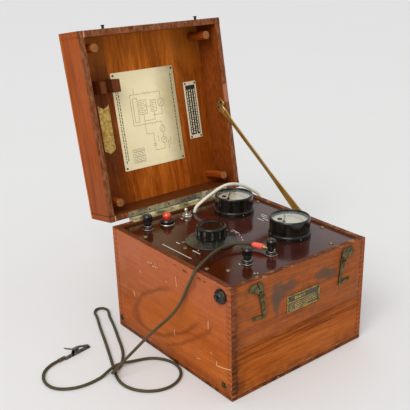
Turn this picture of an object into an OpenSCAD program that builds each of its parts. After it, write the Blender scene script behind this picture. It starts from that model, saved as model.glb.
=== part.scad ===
// Insulation tester: meters, switches and terminals on a panel in a finger-jointed wooden case
// with a hinged lid. X runs along the hinge, Y from the front to the back, Z up.
// The origin is the centre of the case's underside.

/* [Case] */
// Outer width of the case, along the hinge
case_w = 254; // [240:1:300]
// Outer depth of the case, front to back
case_d = 278; // [268:1:320]
// Height of the case without its lid
case_h = 167.5; // [155:0.5:220]
// Thickness of the case and lid walls
wall_t = 9.5; // [8:0.5:12]
// Thickness of the base board
base_t = 6; // [4:0.5:10]
// Height of one finger of the corner joints, about
finger_h = 4; // [3:0.5:10]

/* [Lid] */
// Outer height of the lid
lid_h = 57.5; // [55:0.5:80]
// Thickness of the lid board
lid_board_t = 7; // [5:0.5:9]
// Gap between the two rims when the lid is shut
lid_gap = 2; // [2:0.1:3]
// Angle at which the open lid stands
lid_open = 100; // [92:1:104]
// Diameter of the winding pegs
peg_d = 13; // [8:0.5:16]

/* [Panel] */
// Thickness of the panel
panel_t = 5; // [3:0.5:8]
// How far the panel lies below the rim
panel_drop = 3; // [2:0.5:5]

/* [Meters] */
// Diameter of a meter's flange
meter_flange_d = 63; // [60:0.5:66]
// Diameter of a meter's body above the flange
meter_body_d = 60; // [57:0.5:60]
// Height of a meter above the panel
meter_top = 29.5; // [24:0.5:32]
// Depth of a meter below the panel
meter_depth = 42; // [34:1:50]

/* [Controls] */
// Diameter of the selector's skirt
skirt_d = 75; // [66:0.5:80]
// Diameter of the fluted selector knob
knob_d = 44; // [36:0.5:48]
// Height of the selector knob above the panel
knob_top = 25; // [20:0.5:30]
// Diameter of the toggle switch's dressing nut
toggle_nut_d = 16.4; // [15:0.1:19]
// Diameter of the signal lamp's bezel
lamp_d = 22.4; // [20:0.2:26]
// Diameter of a terminal's screw cap
cap_d = 14; // [12:0.5:15]
// Height of a terminal above the panel
terminal_top = 23.5; // [20:0.5:26]

/* [Leads] */
// Diameter of the mains lead
mains_d = 5.2; // [4.8:0.1:5.6]
// Diameter of the test lead
test_d = 4; // [3.5:0.1:4.4]

/* [Hidden] */
$fn = 48;
eps = 0.01;
fine = 32;

// Fits
shaft_fit = 0.05;
screw_fit = 0.2;
seat_fit = 0.3;
soft_fit = 0.3;

// Case
inner_w = case_w - 2 * wall_t;
inner_d = case_d - 2 * wall_t;
wall_h = case_h - base_t;
panel_z = case_h - panel_drop;
panel_under = panel_z - panel_t;
ledge_w = 8;
ledge_h = 10;
ledge_inset = 28;

// Lid, described shut and then turned open about the hinge axis
knuckle_r = 2.6;
leaf_t = 0.9;
hinge_pin_r = 1.2;
hinge_y = case_d / 2 + 3;
hinge_z = case_h + lid_gap / 2;
rim_z = case_h + lid_gap;
lid_wall_h = lid_h - lid_board_t;
lid_ceiling = rim_z + lid_wall_h;
hinge_from = -94;
hinge_to = 98;
hinge_knuckles = 16;
knuckle_gap = 0.3;
peg_inset = 26;
peg_recess = 5;

// Panel layout
meter_x = inner_w / 2 - 61.5;
meter_rear_y = inner_d / 2 - 56;
meter_front_y = meter_rear_y - 127;
meter_barrel_r = 27;
glass_r = meter_body_d / 2 - 1.7;
glass_z = meter_top - 3.4;
glass_t = 2;
dial_z = meter_top - 7.5;
dial_t = 0.8;
dial_r = meter_body_d / 2 - 3;
pivot_back = 12;
needle_l = 31;
needle_rest = -45;
knob_x = -44;
knob_y = 5;
rear_row_y = inner_d / 2 - 27;
rear_post = [-inner_w / 2 + 30.5, rear_row_y + 0.5];
lamp_xy = [-54, rear_row_y - 2];
toggle_xy = [-14, rear_row_y + 2];
grommet_xy = [5, rear_row_y + 7];
front_row_y = -inner_d / 2 + 43;
left_post = [-54.5, front_row_y];
right_post = [-10.5, front_row_y];
posts = [rear_post, left_post, right_post];
panel_screw_xy = [[-inner_w / 2 + 9.5, 78], [-inner_w / 2 + 9.5, -66], [inner_w / 2 - 6, 80],
  [inner_w / 2 - 6, -66], [78, -inner_d / 2 + 13], [-90, -89],
  [knob_x - skirt_d / 2 - 7.5, knob_y + 2.5]];
screw_head_r = 3.2;
screw_shank_r = 1.6;

// Terminals
collar_r = 8;
collar_h = 5;
neck_r = 5.2;
stud_r = 3.5;
stud_depth = 18;
grommet_lip = 2;
cross_hole_r = 2.05;
cross_hole_z = 7.1;
cap_z = 9.4;
plug_turn = 16;

// Selector
bush_r = 4.7;
shaft_r = 3;
wafer_r = 22;
skirt_h = 4;
flutes = 12;
flute_r = 4.2;

// Toggle
toggle_bush_r = 6;
toggle_bore_r = 4.2;
toggle_lean = 12;
toggle_pin_r = 0.8;
toggle_pivot = 1.5;
lever_l = 9.6;

// Signal lamp
lamp_bezel_h = 8;
lens_r = 6.4;
lens_top = 18.5;
lamp_barrel_r = 8.2;

// Front and side fittings
latch_x = [-77.5, 78];
latch_z = case_h - 21.5;
latch_t = 2;
latch_off = 1;
latch_tilt = 8.5;
latch_throw = 158.5;
latch_turn = latch_throw - latch_tilt;
stud_dx = 5;
catch_z = rim_z + 5;
catch_r = 2;
hook_fit = 0.4;
hook_h = 4.2;
hook_tilt = 17.5;
stud_u = -stud_dx * cos(latch_turn) - (catch_z - latch_z) * sin(latch_turn);
stud_v = -stud_dx * sin(latch_turn) + (catch_z - latch_z) * cos(latch_turn);
hook_reach = -stud_u * sin(hook_tilt) - stud_v * cos(hook_tilt) + catch_r + hook_fit;
pivot_r = 2.4;
nameplate = [62.5, 26];
nameplate_x = 1.2;
nameplate_z = case_h - 55.5;
nameplate_t = 1.2;
side_screw_yz = [[case_d / 2 - 9, 17], [-case_d / 2 + 17, 19]];
cup_r = 5;
cup_h = 1.2;
socket_y = -case_d / 2 + 18.5;
socket_z = case_h - 15.5;
socket_r = 10.3;
socket_out = 8;
socket_bore_r = 2.1;

// Lid fittings
plate_t = 1;
diagram = [116, 152.5];
diagram_back = 60.5;
small_plate_size = [25, 93.5];
small_plate_x = 87;
small_plate_back = 89.5;
label_size = [19, 75];
label_x = -78;
label_back = 93;
pin_head_r = 1.6;
pin_shank_r = 0.7;
pin_shank_l = 4;
stow_from = 22;
stow_back = 186;
stow_size = [10.5, 19];

// Stay: a flat strap from the lid's right wall down to the panel's edge
strap_t = 1.8;
strap_w = 11;
strap_foot_w = 14.5;
strap_x = inner_w / 2 - 1.8;
stay_lid_y = hinge_y - 137;
stay_lid_z = rim_z + 7;
stay_foot_y = -23;
stay_leaf = [16, 20];
stay_tongue = 9;
stay_foot_l = 24;
foot_t = 1.4;
foot_screw_x = strap_x - 6;
foot_screw_y = [-7, 7];
strap_gap = 2.2;
stay_top = lid_point([strap_x, stay_lid_y, stay_lid_z]);
stay_bottom = [strap_x, stay_foot_y, panel_z + 0.2];
stay_slope = atan2(stay_top[2] - stay_bottom[2], stay_top[1] - stay_bottom[1]);
stay_length = norm(stay_top - stay_bottom);

// Inside
transformer_xy = [58, 62];
transformer_size = [76, 62, 64];
valve_xy = [-72, 70];
board_size = [96, 70];
board_xy = [-40, -60];

// The coil: four layers of loops lying beside the case
coil_xy = [case_w / 2 + 66, 75];
coil_r = 39;
coil_step = 6.6;
coil_rise = 5.7;
coil_layers = 4;
layer_turns = 1.125;
coil_lift = 1.5;
loop_rings = 24;
coil_sides = 6;
coil_z = coil_lift + mains_d / 2;
coil_turns = coil_layers * layer_turns + (coil_layers - 1) / 2;
coil_start = [coil_xy[0] - mains_d, coil_xy[1] + coil_r, coil_z];
coil_tail = 24;
coil_end = [coil_xy[0] + coil_tail, coil_xy[1] + coil_r, coil_z + (coil_layers - 1) * coil_rise];
coil_rings = loop_rings * coil_turns;
coil_path = concat([coil_start], [for (i = [0 : coil_rings]) coil_point(i / loop_rings)],
  [coil_end - [mains_d, 0, 0], coil_end]);
mains_plug_l = 40;
plug_r = coil_end[2] - 0.2;

// Mains lead: up from the grommet, behind the rear meter, over the right rim and down to its coil
mains_route = [
  [grommet_xy[0], grommet_xy[1], panel_under - grommet_lip],
  [grommet_xy[0], grommet_xy[1], panel_z + 1],
  [8, grommet_xy[1], panel_z + 8],
  [15, 108.5, panel_z + 13.5],
  [25, 107, panel_z + 19.5],
  [39, 105.5, panel_z + 26],
  [60, 107, panel_z + 31.5],
  [79, 105.5, panel_z + 32],
  [94, 103, panel_z + 28],
  [110, 103, panel_z + 19.5],
  [case_w / 2 - 1, 104, case_h + 6],
  [case_w / 2 + 9, 104.5, case_h - 2.5],
  [case_w / 2 + 13, 105, case_h - 16],
  [case_w / 2 + 12, 106, case_h - 40],
  [case_w / 2 + 7, 107, case_h / 2],
  [case_w / 2 + 9, 110, 44],
  [case_w / 2 + 19, 113, 20],
  [case_w / 2 + 36, 114, 7],
  [coil_start[0] - 7, coil_start[1], coil_start[2]],
  coil_start];

// Test lead: from its plug over the left rim, down to the floor in a loose loop and out to the clip
floor_z = test_d / 2 + 0.2;
over_z = floor_z + test_d + 0.8;
plug_axis_z = panel_z + cross_hole_z;
plug_tail = 31;
tail = [right_post[0] - plug_tail * sin(plug_turn), right_post[1] + plug_tail * cos(plug_turn), plug_axis_z];
left_x = -case_w / 2;
clip_turn = 10;
clip_at = [left_x - 95, 108];
clip_barrel_back = 31;
clip_end = [clip_at[0] - clip_barrel_back * cos(clip_turn), clip_at[1] - clip_barrel_back * sin(clip_turn), 2.8];
test_route = [
  tail,
  [tail[0] - 4 * sin(plug_turn), tail[1] + 4 * cos(plug_turn), plug_axis_z],
  [tail[0] - 6.5, tail[1] + 9, panel_z + 7.6],
  [tail[0] - 15, tail[1] + 14.5, panel_z + 8],
  [tail[0] - 29, tail[1] + 18, panel_z + 8],
  [tail[0] - 47, tail[1] + 16.5, panel_z + 8],
  [-95, -51.5, panel_z + 7.3],
  [left_x + 4, -68.5, case_h + 4],
  [left_x - 4.2, -72, case_h - 0.8],
  [left_x - 8, -68, case_h - 15],
  [left_x - 18, -54, 122],
  [left_x - 33, -36, 86],
  [left_x - 54, -11, 48],
  [left_x - 77, 14, 20],
  [left_x - 90, 24, 9.5],
  [left_x - 99, 34, floor_z + 1.2],
  [left_x - 93, 46, floor_z],
  [left_x - 76, 48, floor_z],
  [left_x - 52, 58, floor_z],
  [left_x - 32, 98, floor_z],
  [left_x - 14, 146, floor_z],
  [left_x + 3, 186, floor_z],
  [left_x + 2, 199, floor_z],
  [left_x - 8, 205, floor_z],
  [left_x - 17, 197, floor_z],
  [left_x - 31, 150, floor_z],
  [left_x - 48, 96, floor_z],
  [left_x - 63, 66, floor_z + 0.6],
  [left_x - 71, 48, over_z],
  [left_x - 78, 30, over_z],
  [left_x - 89, 4, floor_z + 0.6],
  [left_x - 92, -24, floor_z],
  [left_x - 76, -45, floor_z],
  [left_x - 46, -56, floor_z],
  [left_x - 16, -42, floor_z],
  [left_x - 5, -14, floor_z],
  [left_x - 18, 16, floor_z],
  [left_x - 54, 31, floor_z],
  [left_x - 84, 29, floor_z],
  [left_x - 118, 18, floor_z],
  [left_x - 148, 28, floor_z],
  [left_x - 166, 60, floor_z],
  [left_x - 150, 94, floor_z],
  [clip_end[0] - 6 * cos(clip_turn), clip_end[1] - 6 * sin(clip_turn), 2.8],
  clip_end];

function lid_point(p) =
  let (dy = p[1] - hinge_y, dz = p[2] - hinge_z)
  [p[0], hinge_y + dy * cos(lid_open) + dz * sin(lid_open), hinge_z - dy * sin(lid_open) + dz * cos(lid_open)];

// Cords: a smooth curve through the route's points, and rings carried along it
function unit(v) = v / norm(v);
function blend_at(a, b, c, d, t) = 0.5 * (2 * b + (c - a) * t + (2 * a - 5 * b + 4 * c - d) * t * t
  + (3 * b - a - 3 * c + d) * t * t * t);
function smooth(p, steps) = let (last = len(p) - 1) concat(
  [p[0]],
  [for (i = [1 : last - 2], j = [0 : steps - 1]) blend_at(p[i - 1], p[i], p[i + 1], p[i + 2], j / steps)],
  [p[last - 1], p[last]]);
function tangents(p) = [for (i = [0 : len(p) - 1]) unit(p[min(i + 1, len(p) - 1)] - p[max(i - 1, 0)])];
function square_to(n, t) = unit(n - t * (n * t));
function normals(t) = [for (i = 0, n = square_to([0.3, 0.2, 1], t[0]); i < len(t);
  i = i + 1, n = square_to(n, t[min(i, len(t) - 1)])) n];

module tube(path, d, sides) {
  t = tangents(path);
  n = normals(t);
  rings = len(path);
  turn = 360 / sides;
  points = [for (i = [0 : rings - 1], k = [0 : sides - 1])
    path[i] + d / 2 * (n[i] * cos(k * turn) + cross(t[i], n[i]) * sin(k * turn))];
  walls = [for (i = [0 : rings - 2], k = [0 : sides - 1]) let (m = (k + 1) % sides)
    [i * sides + k, (i + 1) * sides + k, (i + 1) * sides + m, i * sides + m]];
  start = [[for (k = [0 : sides - 1]) k]];
  end = [[for (k = [sides - 1 : -1 : 0]) (rings - 1) * sides + k]];
  polyhedron(points, concat(walls, start, end));
}

// The coil's centre line after a number of turns: each layer spirals in or out, and climbs between
function layer_of(turns) = min(coil_layers - 1, floor(turns / (layer_turns + 0.5)));
function coil_radius(layer, part) = let (inward = layer % 2 == 0, run = min(part, layer_turns))
  coil_r - coil_step * (inward ? run : layer_turns - run);
function coil_point(turns) =
  let (layer = layer_of(turns), part = turns - layer * (layer_turns + 0.5))
  let (climb = max(0, part - layer_turns) / 0.5)
  let (r = coil_radius(layer, part), a = 90 - 360 * turns)
  [coil_xy[0] + r * cos(a), coil_xy[1] + r * sin(a), coil_z + coil_rise * (layer + climb)];
function coil_gap() = min([for (i = [1 : 2 : len(coil_path) - 1], j = [i + 16 : 2 : len(coil_path) - 1])
  norm(coil_path[i] - coil_path[j])]) - mains_d;

// Shared shapes
module on_lid() {
  translate([0, hinge_y, hinge_z]) rotate([-lid_open, 0, 0]) translate([0, -hinge_y, -hinge_z]) children();
}

module at_panel(xy) {
  translate([xy[0], xy[1], panel_z]) children();
}

module ring(outer, inner, h) {
  difference() {
    cylinder(r = outer, h = h);
    translate([0, 0, -eps]) cylinder(r = inner, h = h + 2 * eps);
  }
}

// A slotted screw standing on the surface at z = 0, with its shank below
module screw(head_r, head_h, shank_r, shank_l) {
  difference() {
    union() {
      cylinder(r = head_r, h = head_h * 0.5);
      translate([0, 0, head_h * 0.5]) cylinder(r1 = head_r, r2 = head_r * 0.7, h = head_h * 0.5);
    }
    translate([-head_r, -head_r * 0.12, head_h * 0.55]) cube([2 * head_r, head_r * 0.24, head_h]);
  }
  translate([0, 0, -shank_l]) cylinder(r = shank_r, h = shank_l + eps);
}

function finger_count(h) = 2 * floor(h / finger_h / 2) + 1;

// A board with fingers at both ends: odd fingers are cut away on a long board, even ones on its partner
module fingered(length, h, even) {
  n = finger_count(h);
  pitch = h / n;
  difference() {
    translate([-length / 2, 0, 0]) cube([length, wall_t, h]);
    for (i = [even ? 0 : 1 : 2 : n - 1], side = [-1, 1])
      translate([side * (length / 2 - wall_t / 2) - wall_t / 2 - eps, -eps, i * pitch])
        cube([wall_t + 2 * eps, wall_t + 2 * eps, pitch]);
  }
}

module side_board(h, side) {
  translate([side * case_w / 2, 0, 0]) rotate([0, 0, 90]) mirror([0, side > 0 ? 0 : 1, 0])
    fingered(case_d, h, true);
}

// Case
module base_board() {
  color("saddlebrown") translate([-case_w / 2, -case_d / 2, 0]) cube([case_w, case_d, base_t]);
}

module front_wall() {
  color("sienna") difference() {
    translate([0, -case_d / 2, base_t]) fingered(case_w, wall_h, false);
    for (x = latch_x)
      translate([x, -case_d / 2 - eps, latch_z]) rotate([-90, 0, 0]) cylinder(r = pivot_r + screw_fit, h = 7);
    on_nameplate() translate([0, 0, -pin_shank_l - nameplate_t]) cylinder(r = pin_shank_r + screw_fit, h = 8);
  }
}

module back_wall() {
  color("sienna") difference() {
    translate([0, case_d / 2 - wall_t, base_t]) fingered(case_w, wall_h, false);
    side_screw_holes(-1);
    side_screw_holes(1);
  }
}

module side_screw_holes(side) {
  for (p = side_screw_yz)
    translate([side * (case_w / 2 + eps), p[0], p[1]]) rotate([0, -side * 90, 0])
      cylinder(r = screw_shank_r + screw_fit, h = 8);
}

module ledge(side) {
  translate([side * (inner_w / 2 - ledge_w / 2) - ledge_w / 2, -inner_d / 2 + ledge_inset, panel_under - ledge_h])
    cube([ledge_w, inner_d - 2 * ledge_inset, ledge_h]);
}

module left_wall() {
  color("sienna") {
    difference() {
      translate([0, 0, base_t]) side_board(wall_h, -1);
      side_screw_holes(-1);
      translate([-case_w / 2 - eps, socket_y, socket_z]) rotate([0, 90, 0])
        cylinder(r = 5 + seat_fit, h = wall_t + 2 * eps);
    }
    ledge(-1);
  }
}

module right_wall() {
  color("sienna") {
    difference() {
      translate([0, 0, base_t]) side_board(wall_h, 1);
      side_screw_holes(1);
    }
    ledge(1);
  }
}

module case_screws() {
  color("darkgoldenrod") {
    for (side = [-1, 1], p = side_screw_yz)
      translate([side * case_w / 2, p[0], p[1]]) rotate([0, side * 90, 0]) {
        cylinder(r1 = cup_r, r2 = cup_r - 1, h = cup_h);
        translate([0, 0, cup_h - eps]) screw(screw_head_r, 1, screw_shank_r, 7 + cup_h);
      }
    for (x = latch_x)
      translate([x, -case_d / 2, latch_z]) rotate([90, 0, 0]) {
        cylinder(r = 4.5, h = latch_off - 0.1);
        translate([0, 0, -6]) cylinder(r = pivot_r, h = 6 + latch_off + latch_t + 0.3);
        translate([0, 0, latch_off + latch_t + 0.2]) screw(4.2, 1.8, pivot_r, 0);
      }
    on_nameplate() screw(pin_head_r, 1, pin_shank_r, pin_shank_l + nameplate_t - 0.5);
  }
}

// The nameplate's four pins, each with its own z axis out of the front
module on_nameplate() {
  for (sx = [-1, 1], sz = [-1, 1])
    translate([nameplate_x + sx * (nameplate[0] / 2 - 3), -case_d / 2 - nameplate_t,
      nameplate_z + sz * (nameplate[1] / 2 - 3)])
      rotate([90, 0, 0]) children();
}

module front_nameplate() {
  border = 1.6;
  color("goldenrod") difference() {
    translate([nameplate_x - nameplate[0] / 2, -case_d / 2 - nameplate_t, nameplate_z - nameplate[1] / 2])
      cube([nameplate[0], nameplate_t, nameplate[1]]);
    translate([nameplate_x - nameplate[0] / 2 + border + 4, -case_d / 2 - nameplate_t - eps,
      nameplate_z - nameplate[1] / 2 + border])
      cube([nameplate[0] - 2 * border - 8, 0.3, nameplate[1] - 2 * border]);
    on_nameplate() translate([0, 0, -2]) cylinder(r = pin_shank_r + screw_fit, h = 4);
  }
}

module side_socket() {
  color("darkslategray") translate([-case_w / 2, socket_y, socket_z]) rotate([0, -90, 0]) difference() {
    rotate_extrude() polygon([[0, -wall_t + 1], [5, -wall_t + 1], [5, 0], [socket_r, 0],
      [socket_r, 2.6], [socket_r - 1.6, socket_out - 2.4], [6.2, socket_out], [4.2, socket_out],
      [3.8, socket_out - 1], [0, socket_out - 1]]);
    translate([0, 0, -wall_t + 3]) cylinder(r = socket_bore_r, h = 20);
  }
}

// Panel and what is fixed in it
module panel() {
  color([0.24, 0.09, 0.08]) difference() {
    translate([-inner_w / 2 + seat_fit, -inner_d / 2 + seat_fit, panel_under])
      cube([inner_w - 2 * seat_fit, inner_d - 2 * seat_fit, panel_t]);
    for (y = [meter_rear_y, meter_front_y]) panel_hole([meter_x, y], meter_barrel_r + seat_fit);
    panel_hole([knob_x, knob_y], bush_r + seat_fit);
    panel_hole(toggle_xy, toggle_bush_r + seat_fit);
    panel_hole(lamp_xy, lamp_barrel_r + seat_fit);
    panel_hole(grommet_xy, mains_d / 2 + 2.2);
    for (p = posts) panel_hole(p, stud_r + screw_fit);
    for (p = panel_screw_xy) panel_hole(p, screw_shank_r + screw_fit);
    for (y = foot_screw_y) panel_hole([foot_screw_x, stay_foot_y + y], 1 + screw_fit);
  }
}

module panel_hole(xy, r) {
  translate([xy[0], xy[1], panel_under - eps]) cylinder(r = r, h = panel_t + 2 * eps);
}

module panel_screws() {
  color("lightgray") for (p = panel_screw_xy) at_panel(p) screw(screw_head_r, 1.8, screw_shank_r, panel_t);
}

module meter_case(y) {
  body_r = meter_body_d / 2;
  flange_r = meter_flange_d / 2;
  bore_r = body_r - 2.6;
  barrel_wall = 2;
  barrel_bore_r = meter_barrel_r - barrel_wall;
  flange_h = 6.4;
  color([0.08, 0.08, 0.08]) at_panel([meter_x, y]) rotate_extrude() polygon([
    [0, -meter_depth], [meter_barrel_r, -meter_depth], [meter_barrel_r, 0], [flange_r, 0],
    [flange_r, flange_h], [body_r, flange_h + 1.2], [body_r, meter_top - 1.6], [body_r - 1.6, meter_top], [bore_r, meter_top],
    [bore_r, glass_z + glass_t + 0.1], [glass_r + 0.2, glass_z + glass_t + 0.1], [glass_r + 0.2, glass_z],
    [bore_r, glass_z], [bore_r, flange_h], [barrel_bore_r, flange_h], [barrel_bore_r, -meter_depth + barrel_wall],
    [0, -meter_depth + barrel_wall]]);
}

module meter_rear_case() { meter_case(meter_rear_y); }
module meter_front_case() { meter_case(meter_front_y); }

module at_meters() {
  for (y = [meter_rear_y, meter_front_y]) at_panel([meter_x, y]) children();
}

module meter_glasses() {
  color("lightcyan") at_meters() translate([0, 0, glass_z]) cylinder(r = glass_r, h = glass_t);
}

module meter_dials() {
  color("ivory") at_meters() difference() {
    translate([0, 0, dial_z]) cylinder(r = dial_r, h = dial_t);
    translate([-pivot_back, 0, dial_z - eps]) cylinder(r = 3.4, h = dial_t + 2 * eps);
  }
}

module meter_movements() {
  magnet_r = 20;
  magnet_h = 24;
  magnet_floor = 4;
  gap_r = 11;
  core_r = 9;
  core_h = 16;
  foot = -meter_depth + 2;
  color("slategray") at_meters() {
    difference() {
      translate([0, 0, foot]) cylinder(r = magnet_r, h = magnet_h);
      translate([0, 0, foot + magnet_floor]) cylinder(r = gap_r, h = magnet_h);
    }
    difference() {
      translate([0, 0, foot + magnet_floor - 0.1]) cylinder(r = core_r, h = core_h);
      translate([-pivot_back, 0, foot]) cylinder(r = 4, h = magnet_h);
    }
    for (y = [-15, 15]) translate([6, y, foot + magnet_h - eps])
      cylinder(r = 2, h = dial_z - foot - magnet_h + eps);
    difference() {
      translate([-pivot_back - 4, -5, foot + magnet_h]) cube([8, 10, 8]);
      translate([-pivot_back, 0, foot + magnet_h + 2]) cylinder(r = 0.8 + shaft_fit, h = 10);
    }
  }
}

module pointer(y) {
  staff_r = 0.8;
  staff_from = -meter_depth + 2 + 24 + 2.4;
  needle_z = dial_z + dial_t + 1.2;
  color("black") at_panel([meter_x - pivot_back, y]) {
    translate([0, 0, staff_from]) cylinder(r = staff_r, h = needle_z + 1.5 - staff_from);
    translate([0, 0, needle_z]) cylinder(r = 2.2, h = 1.2);
    rotate([0, 0, needle_rest]) translate([0, 0, needle_z + 0.2]) linear_extrude(0.6)
      polygon([[-0.9, -6], [0.9, -6], [0.7, 0], [0.25, needle_l], [-0.25, needle_l], [-0.7, 0]]);
  }
}

module pointer_rear() { pointer(meter_rear_y); }
module pointer_front() { pointer(meter_front_y); }

module selector_switch() {
  plate_z = -panel_t - 4;
  color("darkkhaki") at_panel([knob_x, knob_y]) difference() {
    union() {
      translate([0, 0, plate_z]) cylinder(r = bush_r, h = panel_t + 4);
      translate([0, 0, -panel_t - 3]) cylinder(r = 8, h = 3, $fn = 6);
      translate([-18, -7, plate_z - 1.5]) cube([36, 14, 1.5 + eps]);
      for (x = [-15, 15]) translate([x, 0, plate_z - 26]) cylinder(r = 1.8, h = 26);
      for (z = [-12, -25]) translate([0, 0, plate_z + z]) cylinder(r = wafer_r, h = 2);
    }
    translate([0, 0, plate_z - 30]) cylinder(r = shaft_r + shaft_fit, h = 60);
  }
}

module selector_knob() {
  knob_r = knob_d / 2;
  skirt_r = skirt_d / 2;
  color([0.1, 0.1, 0.1]) at_panel([knob_x, knob_y]) {
    difference() {
      rotate_extrude() polygon([[0, 0.6], [skirt_r, 0.6], [skirt_r, 1.6], [knob_r + 3, skirt_h],
        [knob_r, skirt_h + 0.6], [knob_r, knob_top - 2.4], [knob_r - 1.6, knob_top - 0.2], [knob_r - 2.4, knob_top],
        [knob_r - 7, knob_top], [knob_r - 8, knob_top - 1.2], [0, knob_top - 1.2]]);
      for (i = [0 : flutes - 1]) rotate([0, 0, i * 360 / flutes])
        translate([knob_r + flute_r - 2, 0, skirt_h + 1]) cylinder(r = flute_r, h = knob_top - skirt_h - 4.5);
    }
    translate([0, 0, -panel_t - 32]) cylinder(r = shaft_r, h = panel_t + 33);
  }
}

module toggle_switch() {
  body = [14, 26, 24];
  bush_top = 6;
  color("silver") at_panel(toggle_xy) {
    difference() {
      union() {
        translate([0, 0, -panel_t - 4]) cylinder(r = toggle_bush_r, h = panel_t + 4 + bush_top);
        cylinder(r = toggle_nut_d / 2, h = 2);
        translate([0, 0, 2]) cylinder(r1 = toggle_nut_d / 2, r2 = toggle_nut_d / 2 - 1, h = 1);
        translate([-body[0] / 2, -body[1] / 2, -panel_t - 4 - body[2]]) cube([body[0], body[1], body[2] + eps]);
      }
      translate([0, 0, -panel_t - 12]) cylinder(r = toggle_bore_r, h = 40);
      translate([0, 0, toggle_pivot]) rotate([0, 90, 0])
        cylinder(r = toggle_pin_r + shaft_fit, h = 4 * toggle_bush_r, center = true);
    }
  }
}

module toggle_lever() {
  color("gainsboro") at_panel(toggle_xy) translate([0, 0, toggle_pivot]) {
    rotate([0, 90, 0]) cylinder(r = toggle_pin_r, h = 2 * toggle_bush_r - 1, center = true);
    rotate([-toggle_lean, 0, 0]) {
      sphere(r = 2.8);
      translate([0, 0, -7]) cylinder(r = 1.4, h = 8);
      cylinder(r1 = 1.6, r2 = 2, h = lever_l);
      translate([0, 0, lever_l]) sphere(r = 2.9);
    }
  }
}

module lamp_holder() {
  bezel_r = lamp_d / 2;
  color([0.12, 0.1, 0.1]) at_panel(lamp_xy) difference() {
    rotate_extrude() polygon([[0, -34], [lamp_barrel_r, -34], [lamp_barrel_r, 0], [bezel_r, 0], [bezel_r, 1.2],
      [bezel_r - 0.3, 1.3], [bezel_r - 0.3, 5.2], [bezel_r - 2.2, lamp_bezel_h], [0, lamp_bezel_h]]);
    translate([0, 0, 2]) cylinder(r = lens_r + seat_fit, h = 10);
    translate([0, 0, -30]) cylinder(r = 5, h = 40);
  }
}

module lamp_lens() {
  shoulder = lens_top - lens_r;
  color("red") at_panel(lamp_xy) difference() {
    union() {
      translate([0, 0, 2]) cylinder(r = lens_r, h = shoulder - 2);
      translate([0, 0, shoulder]) intersection() {
        sphere(r = lens_r);
        cylinder(r = lens_r + 1, h = lens_r + 1);
      }
    }
    translate([0, 0, 2 - eps]) cylinder(r = 4.6, h = shoulder - 3);
  }
}

module terminal_bases() {
  color([0.1, 0.1, 0.1]) for (p = posts) at_panel(p) difference() {
    rotate_extrude() polygon([[0, -stud_depth], [stud_r, -stud_depth], [stud_r, -panel_t - 4], [6.5, -panel_t - 4],
      [6.5, -panel_t], [stud_r, -panel_t], [stud_r, 0], [collar_r, 0], [collar_r, 2.4], [neck_r, collar_h],
      [neck_r, cap_z - 0.2], [stud_r, cap_z - 0.2], [stud_r, terminal_top - 0.6], [stud_r - 0.6, terminal_top], [0, terminal_top]]);
    rotate([0, 0, plug_turn]) translate([0, 0, cross_hole_z]) rotate([90, 0, 0])
      cylinder(r = cross_hole_r, h = 30, center = true);
  }
}

module terminal_cap(xy) {
  cap_r = cap_d / 2;
  ribs = 16;
  top = terminal_top - 1.6;
  color([0.13, 0.13, 0.13]) at_panel(xy) difference() {
    rotate_extrude() polygon([[stud_r + shaft_fit, cap_z], [cap_r - 1.2, cap_z], [cap_r, cap_z + 1.4],
      [cap_r, top - 2.2], [cap_r - 1.4, top], [stud_r + shaft_fit, top]]);
    for (i = [0 : ribs - 1]) rotate([0, 0, i * 360 / ribs])
      translate([cap_r + 0.5, 0, cap_z + 2.2]) cylinder(r = 1, h = top - cap_z - 5);
  }
}

module terminal_cap_rear() { terminal_cap(rear_post); }
module terminal_cap_left() { terminal_cap(left_post); }
module terminal_cap_right() { terminal_cap(right_post); }

module mains_grommet() {
  cord_r = mains_d / 2;
  bore_r = cord_r + soft_fit;
  color("black") at_panel(grommet_xy) rotate_extrude() polygon([
    [bore_r, -panel_t - grommet_lip], [cord_r + 3.6, -panel_t - grommet_lip], [cord_r + 3.6, -panel_t],
    [cord_r + 2, -panel_t], [cord_r + 2, 0], [cord_r + 3.6, 0], [cord_r + 3.2, 1], [bore_r + 0.8, 1.6],
    [bore_r, 1.2]]);
}

// Leads
module mains_lead() {
  color("whitesmoke") tube(smooth(mains_route, 3), mains_d, 8);
}

module mains_coil() {
  echo(least_gap_between_turns = coil_gap());
  color("whitesmoke") tube(coil_path, mains_d, coil_sides);
}

module coil_tie() {
  slack = 0.8;
  from_r = coil_r - coil_step * layer_turns - mains_d / 2 - slack;
  to_r = coil_r + mains_d / 2 + slack;
  top = coil_lift + mains_d + (coil_layers - 1) * coil_rise + slack;
  tape_t = 0.8;
  tape_w = 8;
  color("tan") translate([coil_xy[0], coil_xy[1], 0]) rotate([0, 0, -60]) translate([0, tape_w / 2, 0])
    rotate([90, 0, 0]) linear_extrude(tape_w) difference() {
      translate([from_r - tape_t, 0]) square([to_r - from_r + 2 * tape_t, top + tape_t]);
      translate([from_r, tape_t]) square([to_r - from_r, top - tape_t]);
    }
}

module mains_plug() {
  pin_l = 18;
  neck = 10;
  color([0.2, 0.13, 0.1]) translate(coil_end) rotate([0, 90, 0]) {
    rotate_extrude() polygon([[0, 0], [mains_d / 2 + 2, 0], [mains_d / 2 + 4, neck], [plug_r - 6, neck + 8],
      [plug_r, neck + 14], [plug_r, mains_plug_l - 2], [plug_r - 2, mains_plug_l], [0, mains_plug_l]]);
    for (p = [[-11, 0, 3.5], [7, -9, 2.6], [7, 9, 2.6]])
      translate([p[0], p[1], mains_plug_l - eps]) cylinder(r = p[2], h = pin_l);
  }
}

module along_plug() {
  translate([right_post[0], right_post[1], plug_axis_z]) rotate([0, 0, plug_turn]) rotate([-90, 0, 0]) children();
}

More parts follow.
